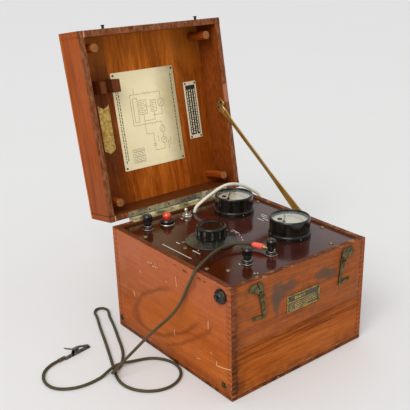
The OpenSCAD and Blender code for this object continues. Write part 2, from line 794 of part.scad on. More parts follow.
module test_plug_pin() {
  color("gold") along_plug() {
    translate([0, 0, -6]) cylinder(r = cross_hole_r - 0.1, h = 15);
    translate([0, 0, 8.5]) cylinder(r = 3, h = 5);
  }
}

module test_plug_sleeve() {
  color("red") along_plug() rotate_extrude() polygon([[0, 13.5], [3.6, 13.5], [4.2, 15], [4.2, 24], [3.7, 25.5],
    [4.2, 27], [3.2, plug_tail], [0, plug_tail]]);
}

module test_lead() {
  color([0.3, 0.26, 0.19]) tube(smooth(test_route, 2), test_d, 8);
}

// Crocodile clip: its own x axis runs from the barrel to the nose, and y along the rivet
clip_w = 8;
clip_sheet = 0.9;
clip_tongue = clip_w - 2 * clip_sheet - 0.4;
clip_pivot_z = 5.6;
clip_rivet_r = 1.1;
clip_nose = 24;

module at_clip() {
  translate([clip_at[0], clip_at[1], 0]) rotate([0, 0, clip_turn]) children();
}

module clip_side(points, from_y, width) {
  translate([0, from_y + width, 0]) rotate([90, 0, 0]) linear_extrude(width) polygon(points);
}

module clip_lower_jaw() {
  cheek = [[-6, clip_sheet], [6, clip_sheet], [3, clip_pivot_z + 2.2], [-3, clip_pivot_z + 2.2]];
  teeth = [[clip_nose - 9, clip_sheet], [clip_nose, clip_sheet], [clip_nose - 0.6, 2.9], [clip_nose - 2.4, 1.7],
    [clip_nose - 4, 2.7], [clip_nose - 5.6, 1.6], [clip_nose - 7.2, 2.5]];
  color("dimgray") at_clip() {
    clip_side([[-21, 0], [clip_nose, 0], [clip_nose, clip_sheet], [-21, clip_sheet]], -clip_w / 2, clip_w);
    clip_side(teeth, -clip_w / 2 + 1, clip_w - 2);
    for (y = [-clip_w / 2, clip_w / 2 - clip_sheet]) clip_side(cheek, y, clip_sheet);
    translate([0, 0, clip_pivot_z]) rotate([90, 0, 0]) cylinder(r = clip_rivet_r, h = clip_w, center = true);
    translate([-clip_barrel_back, 0, 2.8]) rotate([0, 90, 0]) cylinder(r = 2.8, h = 11);
  }
}

module clip_upper_jaw() {
  sheet = [[clip_nose, 3.4], [6, 9.2], [-4, 9.4], [-18, 17.4], [-18.5, 16.6], [-4, 8.3], [6, 8.2],
    [clip_nose - 7, 4.4], [clip_nose - 5.4, 3.4], [clip_nose - 3.8, 4], [clip_nose - 2.2, 2.9],
    [clip_nose - 0.8, 3.6]];
  lug = [[-3, clip_pivot_z - 2], [3, clip_pivot_z - 2], [4, 8.6], [-4, 8.6]];
  color("gray") at_clip() difference() {
    union() {
      clip_side(sheet, -clip_tongue / 2, clip_tongue);
      for (y = [-clip_tongue / 2, clip_tongue / 2 - clip_sheet]) clip_side(lug, y, clip_sheet);
    }
    translate([0, 0, clip_pivot_z]) rotate([90, 0, 0])
      cylinder(r = clip_rivet_r + shaft_fit, h = 2 * clip_w, center = true);
  }
}

// Latches: an arm whose foot hooks over the lid's stud, and a slit thumb leaf above the pivot
function hook_v(u, reach) = -(reach + u * sin(hook_tilt)) / cos(hook_tilt);

module latch(i) {
  leaf_r = 5.8;
  foot_l = 19;
  tip = [-foot_l, hook_v(-foot_l, hook_reach)];
  slit_w = 1.2;
  slit_turn = 27;
  color("darkkhaki") translate([latch_x[i], -case_d / 2 - latch_off, latch_z]) rotate([90, 0, 0])
    mirror([i, 0, 0]) difference() {
      union() {
        cylinder(r = 5.5, h = latch_t);
        linear_extrude(latch_t) hull() {
          translate([-15.5, 11.5]) circle(r = leaf_r, $fn = fine);
          translate([-3, 12.5]) circle(r = leaf_r, $fn = fine);
          translate([0, 2.5]) circle(r = 3, $fn = fine);
        }
        rotate([0, 0, latch_tilt]) linear_extrude(latch_t) polygon([[-4.4, 0], [4.4, 0],
          [2.4, hook_v(2.4, hook_reach + hook_h)], tip - hook_h * [sin(hook_tilt), cos(hook_tilt)], tip,
          [-2.6, hook_v(-2.6, hook_reach)]]);
      }
      translate([0, 0, -eps]) cylinder(r = pivot_r + shaft_fit, h = latch_t + 2 * eps);
      translate([-3.2, 7.5, -eps]) rotate([0, 0, slit_turn])
        translate([-slit_w / 2, 0, 0]) cube([slit_w, 20, latch_t + 2 * eps]);
    }
}

module latch_left() { latch(0); }
module latch_right() { latch(1); }

// Hinge
function knuckle_x(i) = hinge_from + i * (hinge_to - hinge_from) / hinge_knuckles;

module hinge_leaf(first, plate_from_z) {
  pitch = (hinge_to - hinge_from) / hinge_knuckles;
  inner_edge = case_d / 2 - wall_t + 0.3;
  clear_edge = hinge_y - knuckle_r - 0.3;
  difference() {
    union() {
      translate([hinge_from, inner_edge, plate_from_z]) cube([hinge_to - hinge_from, clear_edge - inner_edge, leaf_t]);
      for (i = [first : 2 : hinge_knuckles - 1]) {
        translate([knuckle_x(i) + knuckle_gap / 2, clear_edge - eps, plate_from_z])
          cube([pitch - knuckle_gap, hinge_y - clear_edge, leaf_t]);
        translate([knuckle_x(i) + knuckle_gap / 2, hinge_y, hinge_z]) rotate([0, 90, 0])
          cylinder(r = knuckle_r, h = pitch - knuckle_gap);
      }
    }
    translate([hinge_from - 1, hinge_y, hinge_z]) rotate([0, 90, 0])
      cylinder(r = hinge_pin_r + shaft_fit, h = hinge_to - hinge_from + 2);
  }
}

module hinge_case_leaf() {
  color("darkkhaki") hinge_leaf(0, case_h);
}

module hinge_lid_leaf() {
  color("darkkhaki") on_lid() hinge_leaf(1, rim_z - leaf_t);
}

module hinge_pin() {
  color("goldenrod") translate([hinge_from, hinge_y, hinge_z]) rotate([0, 90, 0])
    cylinder(r = hinge_pin_r, h = hinge_to - hinge_from);
}

// Lid
module lid_front_wall() {
  color("sienna") on_lid() difference() {
    translate([0, -case_d / 2, rim_z]) fingered(case_w, lid_wall_h, false);
    at_catches() translate([0, 0, -6]) cylinder(r = catch_r + screw_fit, h = 8);
  }
}

module lid_back_wall() {
  color("sienna") on_lid() translate([0, case_d / 2 - wall_t, rim_z]) fingered(case_w, lid_wall_h, false);
}

module lid_left_wall() {
  color("sienna") on_lid() translate([0, 0, rim_z]) side_board(lid_wall_h, -1);
}

module lid_right_wall() {
  color("sienna") on_lid() difference() {
    translate([0, 0, rim_z]) side_board(lid_wall_h, 1);
    stay_screws() translate([0, 0, -5]) cylinder(r = pin_shank_r + screw_fit, h = 6);
  }
}

module lid_board() {
  color("peru") on_lid() difference() {
    translate([-case_w / 2, -case_d / 2, lid_ceiling]) cube([case_w, case_d, lid_board_t]);
    plate_pins() translate([0, 0, -pin_shank_l - plate_t]) cylinder(r = pin_shank_r + screw_fit, h = 8);
  }
}

module lid_pegs() {
  color("burlywood") on_lid() for (x = [-1, 1], y = [-1, 1])
    translate([x * (case_w / 2 - peg_inset), y * (case_d / 2 - peg_inset + 1), rim_z + peg_recess])
      cylinder(r = peg_d / 2, h = lid_wall_h - peg_recess);
}

// Two blunt wooden prongs that grip the folded lead ends
module stow_block() {
  color("sienna") on_lid() for (p = [[-93, stow_size[0]], [-71, stow_size[0] + 2]])
    translate([p[0], case_d / 2 - stow_back - stow_size[1], rim_z + stow_from])
      cube([p[1], stow_size[1], lid_wall_h - stow_from]);
}

module lid_plate(x, back, size) {
  translate([x - size[0] / 2, case_d / 2 - back - size[1], lid_ceiling - plate_t]) cube([size[0], size[1], plate_t]);
}

// The pins of the three lid plates, each with its own z axis out of the plate
module plate_pins() {
  for (p = [[0, diagram_back, diagram, 4], [small_plate_x, small_plate_back, small_plate_size, 3]],
    sx = [-1, 1], sy = [-1, 1])
    translate([p[0] + sx * (p[2][0] / 2 - p[3]), case_d / 2 - p[1] - p[2][1] / 2 + sy * (p[2][1] / 2 - p[3]),
      lid_ceiling - plate_t])
      mirror([0, 0, 1]) children();
}

module plate_pin_holes() {
  plate_pins() translate([0, 0, -3]) cylinder(r = pin_shank_r + screw_fit, h = 5);
}

module diagram_plate() {
  color("wheat") on_lid() difference() {
    lid_plate(0, diagram_back, diagram);
    plate_pin_holes();
  }
}

module small_plate() {
  color([0.1, 0.1, 0.1]) on_lid() difference() {
    lid_plate(small_plate_x, small_plate_back, small_plate_size);
    plate_pin_holes();
  }
}

module label_plate() {
  half = label_size[0] / 2;
  point = 6;
  color("darkgoldenrod") on_lid() translate([label_x, case_d / 2 - label_back, lid_ceiling - 0.5])
    linear_extrude(0.5) polygon([[-half, -point], [0, 0], [half, -point], [half, -label_size[1]],
      [0, -label_size[1] + point], [-half, -label_size[1]]]);
}

// The lid's catch studs, each with its own z axis out of the front
module at_catches() {
  for (i = [0, 1])
    translate([latch_x[i] + (i == 0 ? -1 : 1) * stud_dx, -case_d / 2, catch_z]) rotate([90, 0, 0]) children();
}

module lid_screws() {
  color("darkgoldenrod") on_lid() {
    plate_pins() screw(pin_head_r, 0.9, pin_shank_r, pin_shank_l);
    at_catches() {
      translate([0, 0, -5.5]) cylinder(r = catch_r, h = 5.5 + latch_off + latch_t + 1);
      translate([0, 0, latch_off + latch_t + 0.6]) cylinder(r1 = catch_r, r2 = catch_r + 1.4, h = 1.6);
    }
    stay_screws() screw(1.9, 0.9, pin_shank_r, 4.5);
  }
}

// Stay
module in_stay() {
  translate([inner_w / 2, stay_lid_y, stay_lid_z]) rotate([lid_open + stay_slope, 0, 0]) children();
}

// The bracket's two screws, each with its own z axis out of the lid's right wall
module stay_screws() {
  in_stay() for (z = [-5.5, 5.5]) translate([-leaf_t, stay_leaf[0] * 0.55, z]) rotate([0, -90, 0]) children();
}

module stay_bracket() {
  color("goldenrod") on_lid() difference() {
    union() {
      in_stay() translate([-leaf_t, 2, -stay_leaf[1] / 2]) cube([leaf_t, stay_leaf[0] - 2, stay_leaf[1]]);
      in_stay() translate([-1.8, 1.8, -stay_leaf[1] / 2]) cylinder(r = 1.7, h = stay_leaf[1]);
      in_stay() translate([strap_x - strap_t / 2 - leaf_t - 0.1 - inner_w / 2, -stay_tongue, -strap_w / 2])
        cube([leaf_t, stay_tongue + 1, strap_w]);
    }
    stay_screws() translate([0, 0, -3]) cylinder(r = pin_shank_r + screw_fit, h = 5);
  }
}

// The strap widens towards its foot and ends level with the panel
module stay_strap() {
  along = [cos(stay_slope), sin(stay_slope)];
  across = [-along[1], along[0]] * strap_w / 2;
  top = [stay_top[1], stay_top[2]] - along * strap_gap;
  foot_y = stay_bottom[1];
  foot_z = stay_bottom[2];
  foot_half = strap_foot_w / 2 / sin(stay_slope);
  color("goldenrod") translate([strap_x - strap_t / 2, 0, 0]) rotate([90, 0, 90]) linear_extrude(strap_t)
    polygon([[foot_y - foot_half, foot_z], [foot_y + foot_half, foot_z], top - across, top + across]);
}

// An angle screwed to the panel, standing against the strap's inner face
module stay_foot() {
  reach = 9;
  leaf_h = 10;
  inner_x = strap_x - strap_t / 2 - 0.1;
  color("goldenrod") difference() {
    union() {
      translate([inner_x - reach, stay_foot_y - stay_foot_l / 2, panel_z]) cube([reach, stay_foot_l, foot_t]);
      translate([inner_x - foot_t, stay_foot_y - stay_foot_l / 2, panel_z]) cube([foot_t, stay_foot_l, leaf_h]);
      for (y = foot_screw_y) translate([foot_screw_x, stay_foot_y + y, panel_z + foot_t]) screw(2.2, 1.2, 1, panel_t);
    }
  }
}

// Inside
module transformer_core() {
  size = transformer_size;
  limb = size[0] / 6;
  stack = size[1] * 0.55;
  color("dimgray") translate([transformer_xy[0], transformer_xy[1], base_t]) difference() {
    translate([-size[0] / 2, -stack / 2, 0]) cube([size[0], stack, size[2]]);
    for (x = [-1.5, 1.5]) translate([x * limb - limb / 2, -stack / 2 - 1, limb])
      cube([limb, stack + 2, size[2] - 2 * limb]);
  }
}

module transformer_winding() {
  size = transformer_size;
  limb = size[0] / 6;
  stack = size[1] * 0.55;
  gap = 0.4;
  color("khaki") translate([transformer_xy[0], transformer_xy[1], base_t + limb + gap]) difference() {
    translate([-2 * limb + gap, -size[1] / 2, 0]) cube([4 * limb - 2 * gap, size[1], size[2] - 2 * limb - 2 * gap]);
    translate([-limb - gap, -stack / 2 - gap, -1]) cube([2 * limb + 2 * gap, stack + 2 * gap, size[2]]);
  }
}

module rectifier_valve() {
  color("lightsteelblue") translate([valve_xy[0], valve_xy[1], base_t]) rotate_extrude() polygon([[0, 0], [19, 0],
    [19, 5], [15, 6], [15, 20], [14, 21], [16, 30], [20, 46], [19, 60], [12, 72], [9, 78], [4, 82], [0, 82]]);
}

module component_board() {
  board_z = base_t + 8;
  color("peru") translate([board_xy[0], board_xy[1], 0]) {
    translate([-board_size[0] / 2, -board_size[1] / 2, board_z]) cube([board_size[0], board_size[1], 2]);
    for (x = [-1, 1], y = [-1, 1])
      translate([x * (board_size[0] / 2 - 6), y * (board_size[1] / 2 - 6), base_t]) cylinder(r = 3, h = 8 + eps);
    for (x = [-28, 0, 28]) translate([x, 14, board_z + 2 + 11]) rotate([90, 0, 0])
      cylinder(r = 11.2, h = 40, center = true);
    for (x = [-36 : 12 : 36]) translate([x, -24, board_z + 2 + 2.8]) rotate([90, 0, 0])
      cylinder(r = 3, h = 16, center = true);
  }
}

base_board();
front_wall();
back_wall();
left_wall();
right_wall();
panel();
panel_screws();
meter_rear_case();
meter_front_case();
meter_glasses();
meter_dials();
meter_movements();
selector_switch();
toggle_switch();
lamp_holder();
lamp_lens();
terminal_bases();
mains_grommet();
mains_lead();
mains_coil();
coil_tie();
mains_plug();
test_plug_sleeve();
test_plug_pin();
test_lead();
clip_lower_jaw();
front_nameplate();
case_screws();
side_socket();
hinge_case_leaf();
hinge_pin();
stay_foot();
transformer_core();
transformer_winding();
rectifier_valve();
component_board();
lid_front_wall();
lid_back_wall();
lid_left_wall();
lid_right_wall();
lid_board();
lid_pegs();
stow_block();
diagram_plate();
small_plate();
label_plate();
lid_screws();
hinge_lid_leaf();
stay_bracket();
stay_strap();
selector_knob();
toggle_lever();
pointer_rear();
pointer_front();
latch_left();
latch_right();
terminal_cap_rear();
terminal_cap_left();
terminal_cap_right();
clip_upper_jaw();
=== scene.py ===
"""An insulation tester in a finger-jointed wooden case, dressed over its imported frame.

Shapes are worked out in millimetres as whole arrays and put into meshes in metres, in the frame's
own axes: X along the hinge, Y to the back, Z up, with the origin under the middle of the case.
"""
import math
from functools import partialmethod

import bmesh
import bpy
import numpy as np
from mathutils import Matrix


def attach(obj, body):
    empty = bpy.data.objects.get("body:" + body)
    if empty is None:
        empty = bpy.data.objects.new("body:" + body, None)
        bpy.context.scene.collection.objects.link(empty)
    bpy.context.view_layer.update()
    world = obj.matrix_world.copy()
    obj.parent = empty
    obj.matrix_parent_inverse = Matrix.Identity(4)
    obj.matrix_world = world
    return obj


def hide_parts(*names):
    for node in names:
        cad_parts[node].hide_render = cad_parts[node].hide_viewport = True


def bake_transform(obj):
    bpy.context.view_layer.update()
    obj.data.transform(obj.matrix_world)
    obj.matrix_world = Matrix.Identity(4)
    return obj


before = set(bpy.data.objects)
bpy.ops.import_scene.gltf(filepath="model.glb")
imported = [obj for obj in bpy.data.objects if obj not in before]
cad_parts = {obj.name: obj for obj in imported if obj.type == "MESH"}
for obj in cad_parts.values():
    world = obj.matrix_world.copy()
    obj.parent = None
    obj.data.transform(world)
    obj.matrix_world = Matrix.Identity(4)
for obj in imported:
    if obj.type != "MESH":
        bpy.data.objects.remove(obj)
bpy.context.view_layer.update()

MM = 0.001
CREASE = math.radians(35.0)

# Case and lid, as in the part's source
CASE_W, CASE_D, CASE_H = 254.0, 278.0, 167.5
WALL, BASE, FINGER = 9.5, 6.0, 4.0
LID_H, LID_BOARD, LID_GAP, LID_OPEN = 57.5, 7.0, 2.0, 100.0
LID_WALL = LID_H - LID_BOARD
RIM = CASE_H + LID_GAP
CEILING = RIM + LID_WALL
HINGE = np.array([0, CASE_D / 2 + 3, CASE_H + LID_GAP / 2])
LEFT, FRONT = -CASE_W / 2, -CASE_D / 2
INNER_W, INNER_D = CASE_W - 2 * WALL, CASE_D - 2 * WALL
PANEL, PANEL_T = CASE_H - 3.0, 5.0

# Panel layout
METERS = {"rear": (56.0, 73.5), "front": (56.0, -53.5)}
POSTS = {"rear": (-87.0, 103.0), "left": (-54.5, -86.5), "right": (-10.5, -86.5)}
KNOB, KNOB_TURN, KNOB_FLUTES = (-44.0, 5.0), 7.0, 12
LAMP, TOGGLE, GROMMET = (-54.0, 100.5), (-14.0, 104.5), (5.0, 109.5)
PLUG_TURN, PLUG_TAIL = 16.0, 31.0


# Surfaces: points as rows of x, y and z, and groups of faces

def grid_faces(rows, cols):
    """Four-sided faces between the neighbours of a grid of points that closes on itself across its columns."""
    r, c = np.meshgrid(np.arange(rows - 1), np.arange(cols), indexing="ij")
    one, two = r * cols + c, r * cols + (c + 1) % cols
    return np.stack([one, two, two + cols, one + cols], -1).reshape(-1, 4)


def capped_faces(rows, cols):
    """The faces of such a grid, with one more over each of its two ends."""
    ring = np.arange(cols)[None]
    return [grid_faces(rows, cols), ring[:, ::-1], ring + (rows - 1) * cols]


def join(*surfaces):
    """Several surfaces as one: points end to end, and faces counted on from there."""
    starts = np.cumsum([0] + [len(v) for v, _ in surfaces[:-1]])
    faces = [f + start for (_, fs), start in zip(surfaces, starts) for f in fs]
    return np.concatenate([v for v, _ in surfaces]), faces


def repeat(surface, places):
    """The same surface at each of the places, by adding the place to every point."""
    verts, faces = surface
    places = np.asarray(places, float)
    steps = np.arange(len(places))[:, None, None] * len(verts)
    copies = (verts[None] + places[:, None]).reshape(-1, 3)
    return copies, [(f[None] + steps).reshape(-1, f.shape[1]) for f in faces]


def rotation(axis, degrees):
    """The matrix that turns points about one of the axes by the right-hand rule."""
    c, s = math.cos(math.radians(degrees)), math.sin(math.radians(degrees))
    return np.array({"x": [[1, 0, 0], [0, c, -s], [0, s, c]],
                     "y": [[c, 0, s], [0, 1, 0], [-s, 0, c]],
                     "z": [[c, -s, 0], [s, c, 0], [0, 0, 1]]}[axis])


def placed(surface, offset=(0, 0, 0), turn=None):
    """The surface turned about the origin and then carried to the offset."""
    verts, faces = surface
    verts = verts if turn is None else verts @ turn.T
    return verts + np.asarray(offset, float), faces


def on_panel(surface, xy, turn=0.0):
    """A surface drawn about Z, standing on the panel at xy."""
    return placed(surface, (*xy, PANEL), rotation("z", turn))


def on_front(surface):
    """A surface drawn in (x, z, out) on the case's front."""
    return placed(surface, (0, FRONT, 0), rotation("x", 90.0))


def on_left(surface):
    """A surface drawn in (y, z, out) on the case's left side."""
    verts, faces = surface
    return np.stack([LEFT - verts[:, 2], verts[:, 0], verts[:, 1]], -1), [f[:, ::-1] for f in faces]


def open_lid(surface):
    """A surface drawn on the shut lid, swung back with it about the hinge line."""
    return placed(placed(surface, -HINGE), HINGE, rotation("x", -LID_OPEN))


def on_lid_face(surface, out=0.0):
    """A surface drawn in (across, up from the hinge side, out) on the inside of the lid's top board."""
    return open_lid(placed(surface, (0, CASE_D / 2, CEILING - out), rotation("x", 180.0)))


def on_lid_rim(surface):
    """A surface drawn in (x, y, out) on the hinge leaf under the lid's rim."""
    verts, faces = surface
    return open_lid((verts * [1, 1, -1] + [0, 0, RIM - 0.9], [f[:, ::-1] for f in faces]))


def unit(vectors):
    """Each vector divided by its length."""
    return vectors / np.linalg.norm(vectors, axis=-1, keepdims=True)


def heading(degrees):
    """The level direction at an angle from X."""
    return rotation("z", degrees)[:, 0]


def circle(angles):
    """The points of a unit circle at the angles."""
    return np.stack([np.cos(angles), np.sin(angles)], -1)


def eased(points, radius, steps=4):
    """A line whose corners give way to quadratic curves that start and end at radius from them."""
    p = np.asarray(points, float)
    back, ahead = p[:-2] - p[1:-1], p[2:] - p[1:-1]
    lb, la = (np.linalg.norm(v, axis=1, keepdims=True) for v in (back, ahead))
    a = p[1:-1] + back / lb * np.minimum(radius, 0.45 * lb)
    b = p[1:-1] + ahead / la * np.minimum(radius, 0.45 * la)
    t = np.linspace(0, 1, steps)[None, :, None]
    curve = a[:, None] * (1 - t) ** 2 + 2 * p[1:-1][:, None] * t * (1 - t) + b[:, None] * t ** 2
    return np.concatenate([p[:1], curve.reshape(-1, p.shape[1]), p[-1:]])


def lathe(profile, steps, wave=None):
    """A turned shape: each profile point (r, z) goes round Z, and wave(angle, z, r) adds to its radius."""
    profile = np.asarray(profile, float)
    angle = np.arange(steps)[None] * 2 * np.pi / steps
    r, z = (np.repeat(profile[:, i:i + 1], steps, 1) for i in (0, 1))
    if wave is not None:
        r = r + wave(angle, z, r)
    verts = np.stack([r * np.cos(angle), r * np.sin(angle), z], -1).reshape(-1, 3)
    return verts, [grid_faces(len(profile), steps)]


def turned(points, ease, steps, wave=None):
    """A turned shape whose profile has eased corners."""
    return lathe(eased(points, ease), steps, wave)


def rounded_rect(low, high, radius, steps=4):
    """A rectangle's outline, anticlockwise from its low corner, with a quarter circle at each corner."""
    (x0, y0), (x1, y1) = low, high
    r = np.broadcast_to(np.asarray(radius, float), 4)[:, None]
    corner = np.array([[x0, y0], [x1, y0], [x1, y1], [x0, y1]])
    inward = np.array([[1, 1], [-1, 1], [-1, -1], [1, -1]])
    ring = circle(np.radians(np.array([180, 270, 0, 90])[:, None] + np.linspace(0, 90, steps)[None]))
    return ((corner + inward * r)[:, None] + ring * r[:, None]).reshape(-1, 2)


def drawn_in(outline, inset):
    """A closed outline with each side moved inwards by inset: corners move along their mitres."""
    ahead = np.roll(outline, -1, 0) - outline
    normal = np.stack([-ahead[:, 1], ahead[:, 0]], -1)
    normal = normal / np.maximum(np.linalg.norm(normal, axis=1, keepdims=True), 1e-9)
    before = np.roll(normal, 1, 0)
    spread = 1 + np.sum(before * normal, axis=1, keepdims=True)
    return outline + (before + normal) / np.maximum(spread, 0.3) * inset


def slab(outline, low, high, ease, face="top"):
    """A flat piece: its outline stands from low to high, and both rims are drawn in by ease.
    face says which way high is: top is +Z on (x, y), right is +X on (y, z), front is -Y on (x, z)."""
    outline = np.asarray(outline, float)
    inner = drawn_in(outline, ease)
    levels = ((inner, low), (outline, low + ease), (outline, high - ease), (inner, high))
    a, b, h = (np.concatenate(v) for v in zip(*((o[:, 0], o[:, 1], np.full(len(o), z)) for o, z in levels)))
    verts = np.stack({"top": (a, b, h), "right": (h, a, b), "front": (a, -h, b)}[face], -1)
    return verts, capped_faces(4, len(outline))


def plate(low, high, radius, bottom, top, ease):
    """A flat plate with rounded corners."""
    return slab(rounded_rect(low, high, radius), bottom, top, ease)


def block(low, high, ease):
    """A brick with eased edges: a rounded rectangle raised in Z, its two rims drawn in."""
    return slab(rounded_rect(low[:2], high[:2], ease, 3), low[2], high[2], ease)


def curve_through(points, steps):
    """A smooth line through the points: a cubic between each two, with no jump in its bend where two cubics meet."""
    p = np.asarray(points, float)
    gap = np.linalg.norm(np.diff(p, axis=0), axis=1)
    i = np.arange(1, len(p) - 1)
    rows, bend = np.eye(len(p)), np.zeros_like(p)
    rows[i, i - 1], rows[i, i], rows[i, i + 1] = gap[:-1], 2 * (gap[:-1] + gap[1:]), gap[1:]
    bend[i] = 6 * np.diff(np.diff(p, axis=0) / gap[:, None], axis=0)
    bend = np.linalg.solve(rows, bend)[:, None]
    t = (np.arange(steps) / steps)[None, :, None]
    sway = ((1 - t) ** 3 - (1 - t)) * bend[:-1] + (t ** 3 - t) * bend[1:]
    line = (1 - t) * p[:-1, None] + t * p[1:, None] + gap[:, None, None] ** 2 / 6 * sway
    return np.concatenate([line.reshape(-1, 3), p[-1:]])


def tube(path, radius, sides):
    """A round cord: circles square to the path, from a normal that is carried along so that it never spins."""
    tangent = unit(np.gradient(path, axis=0))
    normal = np.empty_like(path)
    carried = np.array([0.3, 0.2, 1.0])
    for i, t in enumerate(tangent):
        carried = unit(carried - t * (carried @ t))
        normal[i] = carried
    side = np.cross(tangent, normal)
    ring = circle(np.arange(sides) * 2 * np.pi / sides)[None]
    rings = path[:, None] + (normal[:, None] * ring[..., :1] + side[:, None] * ring[..., 1:]) * radius
    return rings.reshape(-1, 3), capped_faces(len(path), sides)


def ribbon(path, across, up, width, height):
    """A flat strip with square edges: width along across and height along up, carried down the path."""
    corners = np.array([[-0.5, 0], [0.5, 0], [0.5, 1], [-0.5, 1]])[None] * [width, height]
    verts = path[:, None] + across * corners[..., :1] + up[:, None] * corners[..., 1:]
    return verts.reshape(-1, 3), capped_faces(len(path), 4)


def bars(starts, ends, width, height=0.06):
    """Thin flat strokes on a face drawn in (x, y): one box from each start to its end, lying on z = 0."""
    starts, ends = np.asarray(starts, float), np.asarray(ends, float)
    along = ends - starts
    side = np.stack([-along[:, 1], along[:, 0]], -1)
    side *= (np.broadcast_to(width, len(starts)) / 2 / np.linalg.norm(along, axis=1))[:, None]
    flat = np.stack([starts - side, ends - side, ends + side, starts + side], 1)
    low = np.concatenate([flat, np.zeros(flat.shape[:2] + (1,))], -1)
    verts = np.concatenate([low, low + [0, 0, height]], 1).reshape(-1, 3)
    box = np.array([[0, 3, 2, 1], [4, 5, 6, 7], [0, 1, 5, 4], [1, 2, 6, 5], [2, 3, 7, 6], [3, 0, 4, 7]])
    return verts, [(box[None] + np.arange(len(starts))[:, None, None] * 8).reshape(-1, 4)]


def polyline(points, width, height=0.06):
    """A drawn line: strokes between each point and the next."""
    points = np.asarray(points, float)
    return bars(points[:-1], points[1:], width, height)


def dashes(start, end, lengths, gap, width):
    """A greeked line of print: strokes of the given lengths in turn from start towards end."""
    start, end, lengths = (np.asarray(v, float) for v in (start, end, lengths))
    room = np.linalg.norm(end - start)
    edges = np.cumsum(np.concatenate([[0], lengths + gap]))
    edges = edges[edges < room - lengths.min()]
    size = np.resize(lengths, len(edges))
    way = (end - start) / room
    return bars(start + edges[:, None] * way, start + (edges + size)[:, None] * way, width)


def lettering(words, size):
    """Figures as flat faces in (x, y), centred on the origin, from the built-in font."""
    curve = bpy.data.curves.new("figures", "FONT")
    curve.body, curve.size, curve.align_x, curve.align_y = words, size, "CENTER", "CENTER"
    holder = bpy.data.objects.new("figures", curve)
    mesh = holder.to_mesh()
    verts = np.empty(len(mesh.vertices) * 3)
    mesh.vertices.foreach_get("co", verts)
    by_size = {}
    for polygon in mesh.polygons:
        by_size.setdefault(len(polygon.vertices), []).append(list(polygon.vertices))
    holder.to_mesh_clear()
    bpy.data.objects.remove(holder)
    bpy.data.curves.remove(curve)
    return verts.reshape(-1, 3), [np.array(f) for f in by_size.values()]


def piece(name, surface, finish, stands_for="", body="case"):
    """Puts a surface into a mesh with its finish, merges its seams and poles, and lets it ride on a body. A piece that
    stands for nodes of the frame hides them."""
    verts, faces = surface
    mesh = bpy.data.meshes.new(name)
    mesh.from_pydata((verts * MM).tolist(), [], [f for group in faces for f in group.tolist()])
    work = bmesh.new()
    work.from_mesh(mesh)
    bmesh.ops.remove_doubles(work, verts=work.verts, dist=1e-6)
    bmesh.ops.dissolve_degenerate(work, edges=work.edges, dist=1e-7)
    work.to_mesh(mesh)
    work.free()
    mesh.shade_smooth()
    mesh.set_sharp_from_angle(angle=CREASE)
    mesh.materials.append(FINISHES[finish])
    obj = bpy.data.objects.new(name, mesh)
    bpy.context.scene.collection.objects.link(obj)
    if body:
        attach(obj, body)
    if stands_for:
        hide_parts(*stands_for.split())
    return obj


def lid_piece(name, surface, finish, stands_for=""):
    """A piece that swings with the lid."""
    return piece(name, surface, finish, stands_for, "lid")


def put_marks(obj, **marks):
    """Writes values at each of a piece's points, for its finish to read."""
    for key, values in marks.items():
        obj.data.attributes.new(key, "FLOAT", "POINT").data.foreach_set("value", values[:len(obj.data.vertices)])


# Finishes

FINISHES = {}


class Field:
    """A value over a surface, from a node's socket. Sums with it, and its methods, add nodes that give new fields."""

    def __init__(self, finish, socket):
        self.finish, self.socket = finish, socket

    def math(self, operation, other=0.0):
        """The result of a sum with another value."""
        return self.finish.add("ShaderNodeMath", {0: self, 1: other}, operation=operation)

    __add__ = partialmethod(math, "ADD")
    __sub__ = partialmethod(math, "SUBTRACT")
    __mul__ = partialmethod(math, "MULTIPLY")
    __truediv__ = partialmethod(math, "DIVIDE")
    __pow__ = partialmethod(math, "POWER")
    __abs__ = partialmethod(math, "ABSOLUTE")

    def __rsub__(self, other):
        return self.finish.add("ShaderNodeMath", {0: other, 1: self}, operation="SUBTRACT")

    def vector(self, operation, other):
        """The result of a sum with another vector."""
        return self.finish.add("ShaderNodeVectorMath", {0: self, 1: other}, operation=operation)

    def stretched(self, *scale):
        """A place with its parts multiplied by the scales."""
        return self.vector("MULTIPLY", scale)

    def parts(self):
        """The x, y and z of a place."""
        node = self.finish.add("ShaderNodeSeparateXYZ", {0: self}).socket.node
        return [Field(self.finish, socket) for socket in node.outputs]

    def noise(self, scale, detail=4.0, rough=0.55, warp=0.0):
        """Cloudy values between 0 and 1 over a place."""
        return self.finish.add("ShaderNodeTexNoise", {"Vector": self, "Scale": scale, "Detail": detail,
                                                      "Roughness": rough, "Distortion": warp}, "Fac")

    def span(self, low, high, to_low=0.0, to_high=1.0):
        """Runs smoothly from to_low to to_high as the value goes from low to high."""
        ends = {"Value": self, "From Min": low, "From Max": high, "To Min": to_low, "To Max": to_high}
        return self.finish.add("ShaderNodeMapRange", ends, "Result", interpolation_type="SMOOTHSTEP")

    def near(self, edge, reach, solid=0.0):
        """On a coordinate, in millimetres: 1 up to solid away from the edge, and 0 from reach on."""
        return abs(self - edge * MM).span(solid * MM, reach * MM, 1, 0)

    def ramp(self, *stops):
        """A colour that runs through the stops, each a value and its tone."""
        colour = self.finish.add("ShaderNodeValToRGB", {"Fac": self})
        elements = colour.socket.node.color_ramp.elements
        while len(elements) < len(stops):
            elements.new(0.5)
        for element, (place, tone) in zip(elements, stops):
            element.position, element.color = place, (*tone, 1.0)
        return colour


